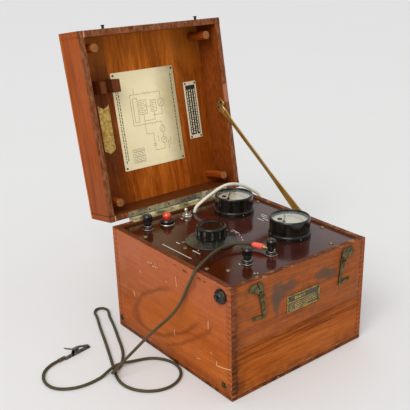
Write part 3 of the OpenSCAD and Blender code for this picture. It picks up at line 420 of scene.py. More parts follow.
class Finish:
    """A material's node tree: coat() lays one tone after another over its colour, and done() wires the colour in."""

    def __init__(self, name, colour=None, **sockets):
        self.material = FINISHES[name] = bpy.data.materials.new(name)
        self.material.use_nodes = True
        self.tree = self.material.node_tree
        self.shader = self.tree.nodes["Principled BSDF"]
        self.colour = colour
        self.set(**sockets)

    def put(self, socket, value):
        """Gives a socket a field, a tone or a plain value."""
        if isinstance(value, Field):
            self.tree.links.new(value.socket, socket)
        elif hasattr(socket.default_value, "__len__") and len(value) == 3 and len(socket.default_value) == 4:
            socket.default_value = (*value, 1.0)
        else:
            socket.default_value = value

    def add(self, kind, inputs, output=0, **settings):
        """A new node's output, as a field."""
        node = self.tree.nodes.new(kind)
        for key, value in settings.items():
            setattr(node, key, value)
        for key, value in inputs.items():
            self.put(node.inputs[key], value)
        return Field(self, node.outputs[output])

    def coords(self, output="Object"):
        """The place on the object, or its normal."""
        return self.add("ShaderNodeTexCoord", {}, output)

    def attribute(self, name):
        """The values that put_marks wrote at the points."""
        return self.add("ShaderNodeAttribute", {}, "Fac", attribute_name=name)

    def mix(self, amount, a, b):
        """Colour a where the amount is 0, and b where it is 1."""
        return self.add("ShaderNodeMix", {0: amount, 6: a, 7: b}, 2, data_type="RGBA")

    def coat(self, amount, tone):
        """Lays a tone over the colour by the amount."""
        self.colour = self.mix(amount, self.colour, tone)

    def bump(self, height, distance, strength):
        """Lets the shading follow a relief."""
        node = {"Height": height, "Distance": distance, "Strength": strength}
        self.set(Normal=self.add("ShaderNodeBump", node))

    def set(self, **sockets):
        """Gives the shader's sockets their values."""
        for socket, value in sockets.items():
            self.put(self.shader.inputs[socket.replace("_", " ")], value)

    def done(self, **sockets):
        """Wires the colour in, and any last values with it."""
        self.set(Base_Color=self.colour, **sockets)


def dimmed(tone, by):
    """A tone multiplied, as a whole or part by part."""
    return tuple(np.multiply(tone, by).tolist())


def lid_coords(f):
    """Object coordinates and normal turned back to where the lid is shut, so that its boards lie square."""
    hinge, turn = HINGE * MM, (math.radians(LID_OPEN), 0, 0)
    back = tuple(hinge - rotation("x", LID_OPEN) @ hinge)
    return [f.add("ShaderNodeMapping", {"Vector": f.coords(kind), "Rotation": turn, "Location": offset})
            for kind, offset in (("Object", back), ("Normal", (0, 0, 0)))]


def blob(parts, centre, size, ragged, soft):
    """A mask that is 1 inside an ellipse on two axes and fades out past its ragged edge."""
    a, b = ((p - c * MM) / (s * MM) for p, c, s in zip(parts, centre, size))
    return ((a * a + b * b).math("SQRT") + ragged).span(1 - soft, 1 + soft, 1, 0)


CASE_TONES = ((0.165, 0.034, 0.0045), (0.350, 0.086, 0.0125), (0.465, 0.130, 0.026))
LID_TONES = ((0.180, 0.034, 0.0045), (0.325, 0.068, 0.0095), (0.430, 0.104, 0.0180))
LID_WOODS = ("lid_long_wood", "lid_side_wood", "lid_board_wood", "peg_wood", "prong_wood")


def varnished(name, grain, seed, tones, end=(0.150, 0.040, 0.012), marks=None, bold=1.0):
    """Old varnished hardwood: broad figure, streaks and fibres along the grain, dark pores, end grain on the faces
    that the grain runs into, and marks(f, x, y, z, moved) for a board's own stains and wear, and the light and shade
    painted on some boards."""
    f = Finish(name, Specular_IOR_Level=0.05)
    place, normal = lid_coords(f) if name in LID_WOODS else (f.coords(), f.coords("Normal"))
    moved = place.vector("ADD", (seed, seed * 1.7, seed * 0.6))
    axis = "xyz".index(grain)

    def figure(run, across, *look):
        """Noise drawn out along the grain."""
        return moved.stretched(*(run if i == axis else across for i in range(3))).noise(*look)

    broad, streak = figure(1, 9, 2, 3, 0.5, 0.8), figure(1, 20, 10, 5, 0.65, 0.3)
    fibre, pores = figure(2, 40, 20, 3, 0.6), figure(4, 60, 26, 2, 0.5)
    grainy = broad * 0.34 + (streak * 0.40 + fibre * 0.26)
    dark, mid, pale = tones
    f.colour = grainy.ramp((0.5 - 0.085 / bold, dark), (0.5, mid), (0.5 + 0.10 / bold, pale))
    f.coat(pores.span(0.58, 0.74, 0, 0.6), dimmed(dark, 0.4))
    f.coat(moved.noise(9, 3).span(0.35, 0.7, 0, 0.35), dimmed(mid, (0.92, 0.74, 0.7)))
    cross_cut = moved.noise(420, 3, 0.6).ramp((0.35, dimmed(end, 0.6)), (0.68, dimmed(end, 1.25)))
    f.coat(abs(normal.parts()[axis]).span(0.6, 0.8), cross_cut)
    f.coat(moved.noise(95, 5, 0.7).span(0.73, 0.79, 0, 0.5), (0.50, 0.22, 0.09))
    f.coat(moved.noise(260, 3, 0.6).span(0.69, 0.77, 0, 0.65), (0.03, 0.010, 0.005))
    if marks:
        marks(f, *place.parts(), moved)
    f.bump(streak * 0.3 - pores.span(0.55, 0.75) * 0.7, 0.00025, 0.5)
    f.done(Roughness=moved.noise(18, 4, 0.6).span(0.3, 0.7, 0.34, 0.56))


def edge_wear(f, part, edge, noise, reach):
    """Paler wood along an edge at a place on one axis, broken up by noise."""
    f.coat(part.near(edge, reach) * noise.span(0.5, 0.66) * 0.55, (0.55, 0.26, 0.12))


def grime(f, part, edge, reach, noise, amount):
    """Dark handling dirt that fades away from an edge."""
    f.coat(part.near(edge, reach) * noise.span(0.35, 0.65, 0.2, 1) * amount, (0.045, 0.014, 0.007))


def dark_rim(f, z, moved):
    """The case's rim, nearly black with handling except where its outer arris is rubbed."""
    tone = moved.noise(90, 4, 0.65).ramp((0.40, (0.060, 0.019, 0.0085)), (0.66, (0.150, 0.046, 0.018)))
    f.coat(z.span((CASE_H - 0.55) * MM, (CASE_H - 0.2) * MM) * 0.85, tone)


def front_marks(f, x, y, z, moved):
    """A board joint, two dark stains above the nameplate, dirty edges and corner, and worn arrises."""
    ragged = (moved.noise(55, 5, 0.65) - 0.5) * 2.2
    upper = z.span(0.0745, 0.0765)
    f.coat(upper * 0.40, (0.285, 0.083, 0.034))
    f.coat(z.near(75, 0.6) * 0.55, (0.06, 0.016, 0.006))
    f.coat(upper * moved.noise(120, 4, 0.7).span(0.42, 0.70, 0, 0.55), (0.165, 0.064, 0.034))
    for centre, size in (((-44, 137), (12, 17)), ((-49, 121), (7, 16)), ((-23, 139), (14, 10)), ((36, 138), (15, 8)),
                         ((54, 132), (13, 6))):
        f.coat(blob((x, z), centre, size, ragged, 0.35) * 0.80, (0.110, 0.066, 0.045))
    f.coat(blob((x, z), (3, 110), (38, 19), ragged, 0.35) * 0.30, (0.10, 0.035, 0.016))
    wear = moved.noise(70, 4, 0.65)
    grime(f, z, 4, 30, wear, 0.60)
    facing = y.span(-0.1388, -0.1380, 1, 0)
    for edge, reach, amount in ((-127, 40, 0.52), (-121, 9, 0.66), (-127, 2, 0.80)):
        grime(f, x, edge, reach, wear, facing * amount)
    dark_rim(f, z, moved)
    edge_wear(f, z, CASE_H, wear, 1.6)
    edge_wear(f, z, 7, wear, 4)


def left_marks(f, x, y, z, moved):
    """An upper half painted paler and pinker as the varnish's sheen, two rings left by something wet, dark knocks
    below the rim and dirty edges.
    """
    ragged = (moved.noise(30) - 0.5) * 0.35
    # painted sheen: the upper half of the side is laid paler and pinker, as light catching the varnish
    f.coat(z.span(0.060, 0.160, 0, 0.60), (0.455, 0.132, 0.060))
    f.coat(moved.noise(130, 4, 0.7).span(0.45, 0.72, 0, 0.35), (0.230, 0.072, 0.034))
    across, up = y - 0.0086, z - 0.0757
    run, rise = up * 0.423 - across * 0.906, up * 0.906 + across * 0.423
    inner, outer = (ragged + ((run / long) ** 2.0 + (rise / short) ** 2.0).math("SQRT")
                    for long, short in ((0.088, 0.034), (0.120, 0.048)))
    f.coat(inner.span(0.90, 1.02, 0.30, 0), (0.460, 0.115, 0.0150))
    faded = run.span(0.005, 0.045) * rise.span(-0.026, -0.012)
    f.coat(abs(inner - 1.0).span(0.01, 0.15, 1, 0) * (1.0 - faded) * 0.66, (0.190, 0.043, 0.0070))
    cut_off = rise.span(-0.030, -0.020, 1, 0) * run.span(-0.035, -0.015)
    f.coat(abs(outer - 1.0).span(0.01, 0.09, 1, 0) * cut_off * 0.55, (0.190, 0.042, 0.0080))
    for centre, size in (((-42, 159), (6, 2)), ((-74, 160), (5, 2)), ((-85, 159), (4, 1.6)), ((-20, 160), (5, 1.2))):
        f.coat(blob((y, z), centre, size, ragged * 4.0, 0.4) * 0.75, (0.06, 0.022, 0.012))
    wear = moved.noise(60, 4, 0.65)
    grime(f, y, FRONT, 2, wear, 0.80)
    grime(f, z, 4, 26, wear, 0.50)
    dark_rim(f, z, moved)
    edge_wear(f, z, CASE_H - 0.9, wear, 0.8)
    edge_wear(f, y, FRONT + 2, wear, 2)


def plain_marks(f, x, y, z, moved):
    """Handling dirt and worn arrises on a board with no stain of its own, and its inner face darkened as painted
    shade.
    """
    wear = moved.noise(60, 4, 0.65)
    grime(f, z, 4, 12, wear, 0.5)
    dark_rim(f, z, moved)
    edge_wear(f, z, CASE_H, wear, 1.2)
    within_x, within_y = (part.span((inner / 2 + 0.4) * MM, (inner / 2 + 0.9) * MM, 1, 0)
                          for part, inner in ((x, INNER_W), (y, INNER_D)))
    # painted shade: the inner face, in the recess above the panel, is darkened
    f.coat(within_x * within_y * 0.85, (0.075, 0.023, 0.010))


def base_marks(f, x, y, z, moved):
    """The bottom board: dark in ragged patches along its edge, and chipped to bare wood in places."""
    f.coat(moved.noise(60, 5, 0.7).span(0.44, 0.60, 0, 0.80), (0.040, 0.013, 0.006))
    f.coat(moved.noise(110, 4, 0.7).span(0.62, 0.68, 0, 0.75), (0.48, 0.21, 0.080))


def lid_marks(f, x, y, z, moved):
    """A weathered rim with one rubbed patch, the left wall's inner face painted paler as light, the right and
    hinge-side inner faces painted darker as shade, and worn arrises on the top.
    """
    wear = moved.noise(60, 4, 0.65)
    grime(f, z, RIM, 5, wear, 0.35)
    streaks = moved.stretched(1, 0.25, 1).noise(320, 3, 0.65)
    rim = z.span((RIM + 0.05) * MM, (RIM + 0.9) * MM, 1, 0)
    f.coat(rim * 0.75, streaks.ramp((0.36, (0.085, 0.028, 0.011)), (0.52, (0.200, 0.080, 0.036)),
                                    (0.66, (0.330, 0.150, 0.078))))
    # painted light and shade: the left wall's inner face is laid paler where light falls on it; the right and
    # hinge-side inner faces, and the board's corners along them, are laid darker as shade
    for part, edge, amount, low, high in ((x, -117.1, 0.92, (0.44, 0.170, 0.085), (0.98, 0.50, 0.29)),
                                          (x, 117.5, 0.60, (0.090, 0.022, 0.0035), (0.260, 0.066, 0.0110)),
                                          (y, 129.5, 0.80, (0.052, 0.016, 0.0045), (0.110, 0.034, 0.0090))):
        f.coat(part.near(edge, 1.0, 0.6) * amount, streaks.ramp((0.36, low), (0.64, high)))
    f.coat(rim * (x.span(0.1160, 0.1168) * y.near(-20, 16, 13)) * 0.7, (0.46, 0.20, 0.115))
    arris = (abs(x) + LEFT * MM).math("MAXIMUM", abs(y) + FRONT * MM).span(-0.004, -0.001)
    unworn = f.colour
    edge_wear(f, z, RIM + LID_H, wear, 3)
    f.colour = f.mix(arris, unworn, f.colour)


def board_marks(f, x, y, z, moved):
    """The lid's own board: inside, a dark band on its left that is a darker plank with the left wall's shadow painted
    on it, painted shade towards its right wall, paler towards the edge away from the hinge and darker towards the
    hinge; worn arrises.
    """
    outside = f.colour
    # partly painted shadow: the dark band beside the left wall stands for a darker plank and for the wall's shadow
    # painted on it
    f.coat(x.span(-0.066, -0.054, 1, 0) * moved.noise(30, 3).span(0.2, 0.6, 0.55, 1) * 0.84, (0.070, 0.022, 0.0105))
    f.coat(moved.stretched(1, 0.45, 1).noise(34, 5, 0.65, 0.6).span(0.46, 0.66, 0, 0.55), (0.185, 0.034, 0.0028))
    f.coat(moved.stretched(1, 0.22, 1).noise(230, 3, 0.6).span(0.58, 0.70, 0, 0.50), (0.085, 0.020, 0.0035))
    # painted shade: the board darkens towards the right wall, as the inner corner's shade
    f.coat(x.span(0.050, 0.075) * 0.60, (0.120, 0.022, 0.0012))
    f.coat(y.span(-0.130, -0.050, 0.40, 0), (0.640, 0.200, 0.022))
    f.coat(y.span(0.030, 0.110, 0, 0.30), (0.260, 0.052, 0.0035))
    f.coat(z.span((CEILING + 1) * MM, (CEILING + 2) * MM), outside)
    lid_marks(f, x, y, z, moved)


def moulded(name, tone, rough, dust):
    """Old black or brown moulding: a deep polish with fine scratches, and dust that dulls it in patches."""
    f = Finish(name, tone, Specular_IOR_Level=0.5)
    place = f.coords()
    haze = place.noise(60, 5, 0.6)
    f.coat(haze.span(0.45, 0.75, 0, dust * 0.35), (0.20, 0.18, 0.15))
    f.coat(place.noise(900, 2).span(0.72, 0.80, 0, dust), (0.20, 0.18, 0.15))
    f.bump(place.stretched(1, 9, 3).noise(260, 3, 0.7), 0.00006, 0.4)
    f.done(Roughness=haze.span(0.3, 0.7, rough * 0.8, rough * 1.5))


def metal(name, tone, tarnish, rough, patchy=0.6, scale=180.0):
    """Worn metal: bright where it is rubbed, dulled to the tarnish colour in patches, with fine scratches."""
    f = Finish(name, tone, Metallic=1.0)
    place = f.coords()
    patch = place.noise(scale, 6, 0.62)
    f.coat(patch.span(0.38, 0.62, 0, patchy), tarnish)
    f.coat(place.noise(scale * 5, 3).span(0.66, 0.76, 0, 0.5), dimmed(tarnish, 0.35))
    f.bump(place.noise(scale * 8, 3), 0.00005, 0.35)
    f.done(Roughness=patch.span(0.35, 0.65, rough * 0.8, min(0.85, rough * 1.7)))


def painted(name, tone, aged, rough, scale=90.0, amount=0.5):
    """Flat print or paint, yellowed in soft patches and specked with age."""
    f = Finish(name, tone, Specular_IOR_Level=0.35)
    place = f.coords()
    f.coat(place.noise(scale, 5, 0.6).span(0.4, 0.7, 0, amount), aged)
    f.coat(place.noise(scale * 9, 2).span(0.70, 0.78, 0, 0.6), dimmed(aged, 0.3))
    f.done(Roughness=place.noise(scale * 3, 3).span(0.3, 0.7, rough * 0.8, rough * 1.2))


def panel_board():
    """Polished laminated board: deep maroon with a faint cloudy figure, wiped smears and fine scratches, with painted
    reflections: orange-brown on its left, in colour and specular tint, for the lid's board, and pale on its right for
    the backdrop.
    """
    f = Finish("panel_board")
    place = f.coords()
    across = place.parts()[0]
    cloud = place.noise(22, 5, 0.6, 0.5)
    f.colour = cloud.ramp((0.3, (0.034, 0.0070, 0.0045)), (0.7, (0.066, 0.0145, 0.0090)))
    # painted reflection: the left part is tinted orange-brown, as the lid's board seen in the polish
    f.coat(across.span(-0.100, -0.010, 0.80, 0), (0.046, 0.0085, 0.0008))
    # painted reflection: the right part is tinted pale, as the backdrop seen in the polish
    f.coat(across.span(0.030, 0.115, 0, 0.25), (0.200, 0.135, 0.120))
    f.coat(place.noise(700, 2).span(0.74, 0.80, 0, 0.5), (0.30, 0.24, 0.19))
    f.bump(cloud + place.stretched(30, 2, 1).noise(60, 2, 0.6) * 0.15, 0.00005, 0.2)
    # painted reflection: the specular tint turns orange towards the left, for the lid's board
    f.done(Specular_Tint=f.mix(across.span(-0.110, 0.010, 1, 0), (1, 1, 1), (1, 0.40, 0.10)),
           Specular_IOR_Level=across.span(-0.090, -0.010, 0.30, 0.42),
           Roughness=place.stretched(3, 1, 1).noise(24, 4, 0.6).span(0.3, 0.7, 0.07, 0.16))


def cord_skin(name, tone, worn, dirt):
    """A rubber or cotton cord: its along and around attributes carry a fine skin, scuffs and dirt."""
    f = Finish(name, tone, Roughness=0.62, Specular_IOR_Level=0.3)
    along, around = f.attribute("along"), f.attribute("around")
    place = f.add("ShaderNodeCombineXYZ", {"X": along, "Y": around, "Z": 0.0})
    scuff = place.stretched(120, 0.8, 1).noise(1, 4, 0.6)
    f.coat(scuff.span(0.5, 0.75, 0, 0.7), worn)
    f.coat(place.stretched(24, 0.4, 1).noise(1, 3).span(0.5, 0.72, 0, 0.6), dirt)
    f.bump((along * 3800 + around * 6).math("SINE") * 0.4 + scuff, 0.00012, 0.35)
    f.done()


def clear_glass(name, tint):
    """Thin clear glass: light goes straight through, and more is thrown back the lower it strikes."""
    f = Finish(name)
    film = f.coords().noise(70).span(0.4, 0.75, 0.05, 0.15)
    through = f.add("ShaderNodeBsdfTransparent", {"Color": tint})
    back = f.add("ShaderNodeBsdfGlossy", {"Roughness": film})
    share = f.add("ShaderNodeLayerWeight", {"Blend": 0.5}, "Facing") ** 4.0 * 0.75 + 0.04
    both = f.add("ShaderNodeMixShader", {0: share, 1: through, 2: back})
    f.tree.nodes.remove(f.shader)
    f.put(f.tree.nodes["Material Output"].inputs["Surface"], both)


def lamp_glass():
    """Red pressed glass, lit through: deep at the rim, brighter where the light gets in."""
    f = Finish("lamp_red", Specular_IOR_Level=0.6, Roughness=0.16, Subsurface_Weight=0.35, Subsurface_Scale=0.004,
               Subsurface_Radius=(1.0, 0.15, 0.08), Coat_Weight=0.5, Coat_Roughness=0.05)
    height = f.coords().parts()[2].span((PANEL + 6) * MM, (PANEL + 17) * MM)
    f.colour = height.ramp((0, (0.30, 0.006, 0.004)), (1, (0.82, 0.070, 0.020)))
    f.coat(f.coords().noise(420, 3).span(0.6, 0.75, 0, 0.25), (0.30, 0.02, 0.015))
    f.done()


def strap_finish():
    """A golden tan strap: a fine weave along it, painted highlights along both long edges and darker handling down its
    middle.
    """
    f = Finish("strap_tan", (0.345, 0.190, 0.030), Roughness=0.5, Specular_IOR_Level=0.4)
    along, around = f.attribute("along"), f.attribute("around")
    f.coat(f.coords().noise(45).span(0.35, 0.7), (0.245, 0.118, 0.016))
    # painted highlight: both long edges are laid paler, as light catching them
    f.coat(abs(around - 0.5).span(0.36, 0.5, 0, 0.55), (0.50, 0.33, 0.09))
    f.bump((along * 5200).math("SINE") + (around * 40).math("SINE"), 0.00008, 0.3)
    f.done()


def knob_moulding():
    """The knob's black moulding: one flank of each ridge painted pale grey as a highlight and made duller, polished
    elsewhere.
    """
    f = Finish("knob_black", (0.0075, 0.0060, 0.0040), Specular_IOR_Level=0.5)
    place = f.coords()
    x, y, z = place.parts()
    turn = (y - KNOB[1] * MM).math("ARCTAN2", x - KNOB[0] * MM)
    flank = ((turn - math.radians(KNOB_TURN)) * KNOB_FLUTES + 2.1).math("COSINE").span(0.55, 0.95)
    side = z.span((PANEL + 6) * MM, (PANEL + 11) * MM) * z.span((PANEL + 20) * MM, (PANEL + 22) * MM, 1, 0)
    worn = flank * side * place.noise(160, 4, 0.65).span(0.34, 0.62)
    haze = place.noise(60, 5, 0.6)
    # painted highlight: worn marks one flank of each ridge, where pale grey is laid as a highlight
    f.coat(worn * 0.80, (0.150, 0.138, 0.110))
    skirt = z.span((PANEL + 3.6) * MM, (PANEL + 4.8) * MM, 1, 0)
    f.coat(skirt * haze.span(0.30, 0.65, 0.25, 0.60), (0.062, 0.052, 0.036))
    f.bump(place.stretched(1, 9, 3).noise(260, 3, 0.7), 0.00006, 0.4)
    f.done(Roughness=haze.span(0.3, 0.7, 0.09, 0.17) + (worn * 0.28 + skirt * 0.12))


def cream_enamel():
    """Lacquered plate: warm cream, painted down to a darker olive towards its right edge as shade, specked with age.
    """
    f = Finish("cream_plate", (1.0, 0.88, 0.55), Specular_IOR_Level=0.4)
    place = lid_coords(f)[0]
    stain = place.noise(26, 4, 0.6)
    f.coat(stain.span(0.35, 0.7, 0, 0.35), (0.94, 0.77, 0.44))
    # painted shade: the plate darkens to olive towards its right edge
    f.coat((place.parts()[0] + (stain - 0.5) * 0.03).span(0.012, 0.058, 0, 0.80), (0.36, 0.29, 0.135))
    f.coat(place.noise(520, 2).span(0.70, 0.78, 0, 0.5), (0.25, 0.18, 0.08))
    f.done(Roughness=stain.span(0.3, 0.7, 0.28, 0.45))


varnished("front_wood", "x", 0.11, ((0.170, 0.035, 0.0042), (0.380, 0.094, 0.0115), (0.490, 0.140, 0.024)),
          (0.300, 0.084, 0.024), front_marks, 0.85)
varnished("left_wood", "y", 0.37, ((0.235, 0.050, 0.0055), (0.395, 0.092, 0.0125), (0.500, 0.135, 0.027)),
          (0.120, 0.038, 0.014), left_marks, 0.6)
varnished("right_wood", "y", 0.73, CASE_TONES, (0.270, 0.076, 0.022), plain_marks)
varnished("back_wood", "x", 0.91, CASE_TONES, (0.330, 0.090, 0.022), plain_marks)
varnished("base_wood", "x", 1.31, ((0.085, 0.020, 0.0045), (0.190, 0.048, 0.0105), (0.290, 0.082, 0.022)),
          (0.230, 0.060, 0.014), base_marks)
varnished("lid_long_wood", "x", 0.23, LID_TONES, (0.300, 0.062, 0.012), lid_marks)
varnished("lid_side_wood", "y", 0.53, LID_TONES, (0.200, 0.048, 0.011), lid_marks, 0.65)
varnished("lid_board_wood", "y", 0.67, ((0.200, 0.036, 0.0022), (0.455, 0.104, 0.0075), (0.640, 0.185, 0.019)),
          marks=board_marks, bold=1.25)
varnished("peg_wood", "z", 0.4, LID_TONES, (0.30, 0.125, 0.045))
varnished("prong_wood", "y", 0.81, ((0.050, 0.014, 0.0050), (0.115, 0.032, 0.0100), (0.200, 0.062, 0.020)),
          (0.08, 0.026, 0.010))
cord_skin("white_flex", (0.76, 0.72, 0.58), (0.62, 0.57, 0.45), (0.42, 0.36, 0.25))
cord_skin("brown_flex", (0.066, 0.048, 0.018), (0.118, 0.088, 0.038), (0.030, 0.022, 0.010))
moulded("black_moulding", (0.0075, 0.0060, 0.0040), 0.11, 0.07)
moulded("brown_moulding", (0.030, 0.018, 0.012), 0.25, 0.2)
moulded("black_rubber", (0.012, 0.011, 0.010), 0.45, 0.35)
clear_glass("meter_glass", (0.97, 0.98, 0.97))
clear_glass("valve_glass", (0.86, 0.90, 0.90))
for make in (panel_board, lamp_glass, strap_finish, knob_moulding, cream_enamel):
    make()
for row in (("nickel", (0.86, 0.82, 0.70), (0.55, 0.48, 0.34), 0.30),
            ("bright_brass", (0.74, 0.52, 0.20), (0.36, 0.22, 0.07), 0.28),
            ("aged_brass", (0.40, 0.31, 0.13), (0.11, 0.085, 0.040), 0.38, 0.85, 120),
            ("steel", (0.42, 0.41, 0.39), (0.17, 0.14, 0.11), 0.35),
            ("clip_steel", (0.20, 0.17, 0.14), (0.05, 0.04, 0.03), 0.32, 0.75, 260),
            ("socket_grey", (0.075, 0.070, 0.060), (0.022, 0.020, 0.018), 0.42, 0.8, 320),
            ("stud_grey", (0.16, 0.15, 0.14), (0.06, 0.055, 0.05), 0.4, 0.6, 260),
            ("gold_foil", (0.80, 0.55, 0.17), (0.52, 0.35, 0.10), 0.55, 0.7, 240),
            ("gold_shadow", (0.50, 0.34, 0.10), (0.28, 0.18, 0.05), 0.5, 0.7, 90),
            ("latch_metal", (0.185, 0.152, 0.072), (0.055, 0.046, 0.024), 0.36, 0.75, 140),
            ("nameplate_brass", (0.54, 0.40, 0.135), (0.16, 0.115, 0.045), 0.42, 0.7, 160),
            ("dark_steel", (0.060, 0.055, 0.048), (0.025, 0.020, 0.016), 0.4),
            ("hinge_brass", (1.0, 0.90, 0.60), (0.17, 0.135, 0.050), 0.34, 0.92, 42),
            ("old_screw", (0.170, 0.125, 0.055), (0.028, 0.020, 0.011), 0.5, 0.9, 420),
            ("screw_brass", (0.46, 0.36, 0.20), (0.22, 0.14, 0.07), 0.4, 0.7)):
    metal(*row)
for row in (("raw_wood", (0.72, 0.42, 0.20), (0.55, 0.27, 0.11), 0.7, 300),
            ("old_dirt", (0.060, 0.022, 0.012), (0.10, 0.035, 0.018), 0.7, 300),
            ("engraving_white", (0.80, 0.76, 0.66), (0.50, 0.42, 0.32), 0.55, 200),
            ("dial_face", (0.74, 0.69, 0.55), (0.60, 0.53, 0.38), 0.6, 60, 0.4),
            ("dial_ink", (0.015, 0.014, 0.013), (0.03, 0.027, 0.022), 0.5),
            ("pointer_black", (0.012, 0.011, 0.010), (0.03, 0.026, 0.02), 0.4),
            ("copper_winding", (0.32, 0.13, 0.045), (0.20, 0.075, 0.03), 0.45, 220),
            ("board_brown", (0.19, 0.085, 0.035), (0.12, 0.05, 0.022), 0.5, 80),
            ("red_sleeve", (0.92, 0.125, 0.085), (0.80, 0.085, 0.060), 0.20, 160),
            ("tie_cloth", (0.42, 0.31, 0.17), (0.28, 0.19, 0.10), 0.8, 260),
            ("pale_print", (0.74, 0.66, 0.46), (0.55, 0.46, 0.28), 0.5, 150),
            ("plate_ink", (0.17, 0.135, 0.070), (0.26, 0.20, 0.10), 0.5, 150),
            ("bold_ink", (0.060, 0.048, 0.026), (0.12, 0.09, 0.045), 0.5, 150),
            ("plate_black", (0.018, 0.017, 0.013), (0.05, 0.045, 0.03), 0.4),
            ("nameplate_dark", (0.060, 0.043, 0.020), (0.13, 0.10, 0.048), 0.45, 140)):
    painted(*row)


# The camera of the picture and the studio round the object

scene = bpy.context.scene


def stood(name, data, place, target, roll=0.0):
    """A camera or light at place, facing target, with its right and up axes rolled by a few degrees."""
    ahead = unit(np.subtract(target, place))
    right = unit(np.cross(ahead, (0, 0, 1)))
    up = np.cross(right, ahead)
    c, s = math.cos(math.radians(roll)), math.sin(math.radians(roll))
    axes = np.eye(4)
    axes[:3] = np.stack([c * right + s * up, c * up - s * right, -ahead, place], -1)
    obj = bpy.data.objects.new(name, data)
    obj.matrix_world = Matrix(axes.tolist())
    scene.collection.objects.link(obj)
    return obj


def soft_light(name, kind, place, size, power):
    """A softbox at place, or a wide soft sun from its direction, turned to face the object."""
    data = bpy.data.lights.new(name, kind)
    setattr(data, "angle" if kind == "SUN" else "size", size)
    data.energy, data.color = power, (1.0, 0.985, 0.965)
    stood(name, data, place, (0.0, 0.0, 0.1))


lens = bpy.data.cameras.new("camera")
lens.lens, lens.sensor_width, lens.sensor_fit = 65.21, 36.0, "HORIZONTAL"
lens.shift_x, lens.shift_y = -0.143, 0.098
scene.camera = stood("camera", lens, (-0.6473, -0.7753, 0.5893), (0.053, 0.0, 0.1307), 0.33)
scene.view_settings.view_transform = "Standard"
soft_light("key_light", "SUN", (-2.4, -1.7, 2.7), math.radians(42), 1.55)
soft_light("shine_light", "AREA", (-1.9, -0.4, 2.4), 1.0, 9.0)

world = scene.world = bpy.data.worlds.new("studio")
world.use_nodes = True
nodes = world.node_tree.nodes
room = nodes["Background"]
backdrop, chooser, light_path, seen = (nodes.new("ShaderNode" + kind)
                                       for kind in ("Background", "MixShader", "LightPath", "Math"))
seen.operation = "MAXIMUM"
room.inputs["Color"].default_value = (0.97, 0.985, 1.0, 1.0)
room.inputs["Strength"].default_value = 0.68
backdrop.inputs["Color"].default_value = (0.80, 0.80, 0.795, 1.0)
for source, target in ((light_path.outputs["Is Camera Ray"], seen.inputs[0]),
                       (light_path.outputs["Is Transmission Ray"], seen.inputs[1]),
                       (seen.outputs[0], chooser.inputs[0]), (room.outputs[0], chooser.inputs[1]),
                       (backdrop.outputs[0], chooser.inputs[2]),
                       (chooser.outputs[0], nodes["World Output"].inputs["Surface"])):
    world.node_tree.links.new(source, target)

paper = Finish("floor_paper", (0.765, 0.762, 0.756), Specular_IOR_Level=0.15)
paper.coat(paper.coords().noise(3, 2), (0.78, 0.777, 0.771))
paper.done(Roughness=0.8)
floor_mesh = bpy.data.meshes.new("floor")
floor_mesh.from_pydata([(-9, -9, 0), (9, -9, 0), (9, 9, 0), (-9, 9, 0)], [], [(0, 1, 2, 3)])
floor_mesh.materials.append(paper.material)
floor = bpy.data.objects.new("floor", floor_mesh)
scene.collection.objects.link(floor)


# Leads

MAINS_R, TEST_R = 2.6, 2.15
COIL = (193.0, 75.0)
COIL_R, COIL_STEP, COIL_RISE, COIL_LIFT, COIL_TAIL = 39.0, 6.6, 5.7, 1.5 + MAINS_R, 24.0
LAYERS, LAYER_TURNS, CLIMB_TURNS = 4, 1.125, 0.5
COIL_START = np.array([COIL[0], COIL[1] + COIL_R, COIL_LIFT])
COIL_END = COIL_START + [COIL_TAIL, 0, (LAYERS - 1) * COIL_RISE]
COIL_STUB = np.array([2 * MAINS_R, 0, 0])


def soft_step(t):
    """From 0 to 1 with no corner at either end."""
    t = np.clip(t, 0.0, 1.0)
    return t * t * (3 - 2 * t)


def coil_line(rings):
    """Loops that wind in and out on alternate layers and climb to the next one over half a turn:
    the angle falls with the turns from 90 degrees, and the radius with the part of a layer that is done."""
    turns = np.linspace(0, LAYERS * LAYER_TURNS + (LAYERS - 1) * CLIMB_TURNS, rings)
    layer = np.minimum(np.floor(turns / (LAYER_TURNS + CLIMB_TURNS)), LAYERS - 1)
    part = turns - layer * (LAYER_TURNS + CLIMB_TURNS)
    run = np.minimum(part, LAYER_TURNS)
    r = COIL_R - COIL_STEP * np.where(layer % 2 == 0, run, LAYER_TURNS - run)
    height = COIL_LIFT + COIL_RISE * (layer + soft_step((part - LAYER_TURNS) / CLIMB_TURNS))
    return np.column_stack([COIL + r[:, None] * circle(np.radians(90 - 360 * turns)), height])


def lead_piece(name, path, radius, finish, stands_for, sides):
    """A cord's mesh with along, in metres, and around, in radians, at each of its points."""
    along = np.concatenate([[0], np.cumsum(np.linalg.norm(np.diff(path, axis=0), axis=1))]) * MM
    obj = piece(name, tube(path, radius, sides), finish, stands_for)
    put_marks(obj, along=np.repeat(along, sides), around=np.tile(np.arange(sides) * 2 * np.pi / sides, len(path)))
    return obj, float(along[-1])


mains_route = np.array([
    (*GROMMET, PANEL - 7), (*GROMMET, PANEL + 1), (8, GROMMET[1], PANEL + 8),
    (15, 108.5, PANEL + 13.5), (25, 107, PANEL + 19.5), (39, 105.5, PANEL + 26), (60, 107, PANEL + 31.5),
    (79, 105.5, PANEL + 32), (94, 103, PANEL + 28), (110, 103, PANEL + 19.5), (126, 104, CASE_H + 6),
    (136, 104.5, CASE_H - 2.5), (140, 105, CASE_H - 16), (139, 106, CASE_H - 40), (134, 107, CASE_H / 2),
    (136, 110, 44), (146, 113, 20), (163, 114, 7), COIL_START - COIL_STUB - (7, 0, 0), COIL_START - COIL_STUB])
mains_path = np.concatenate([curve_through(mains_route, 8), coil_line(300), [COIL_END - COIL_STUB, COIL_END]])
mains_lead, mains_length = lead_piece("mains_lead_flex", mains_path, MAINS_R, "white_flex",
                                      "mains_lead mains_coil", 14)

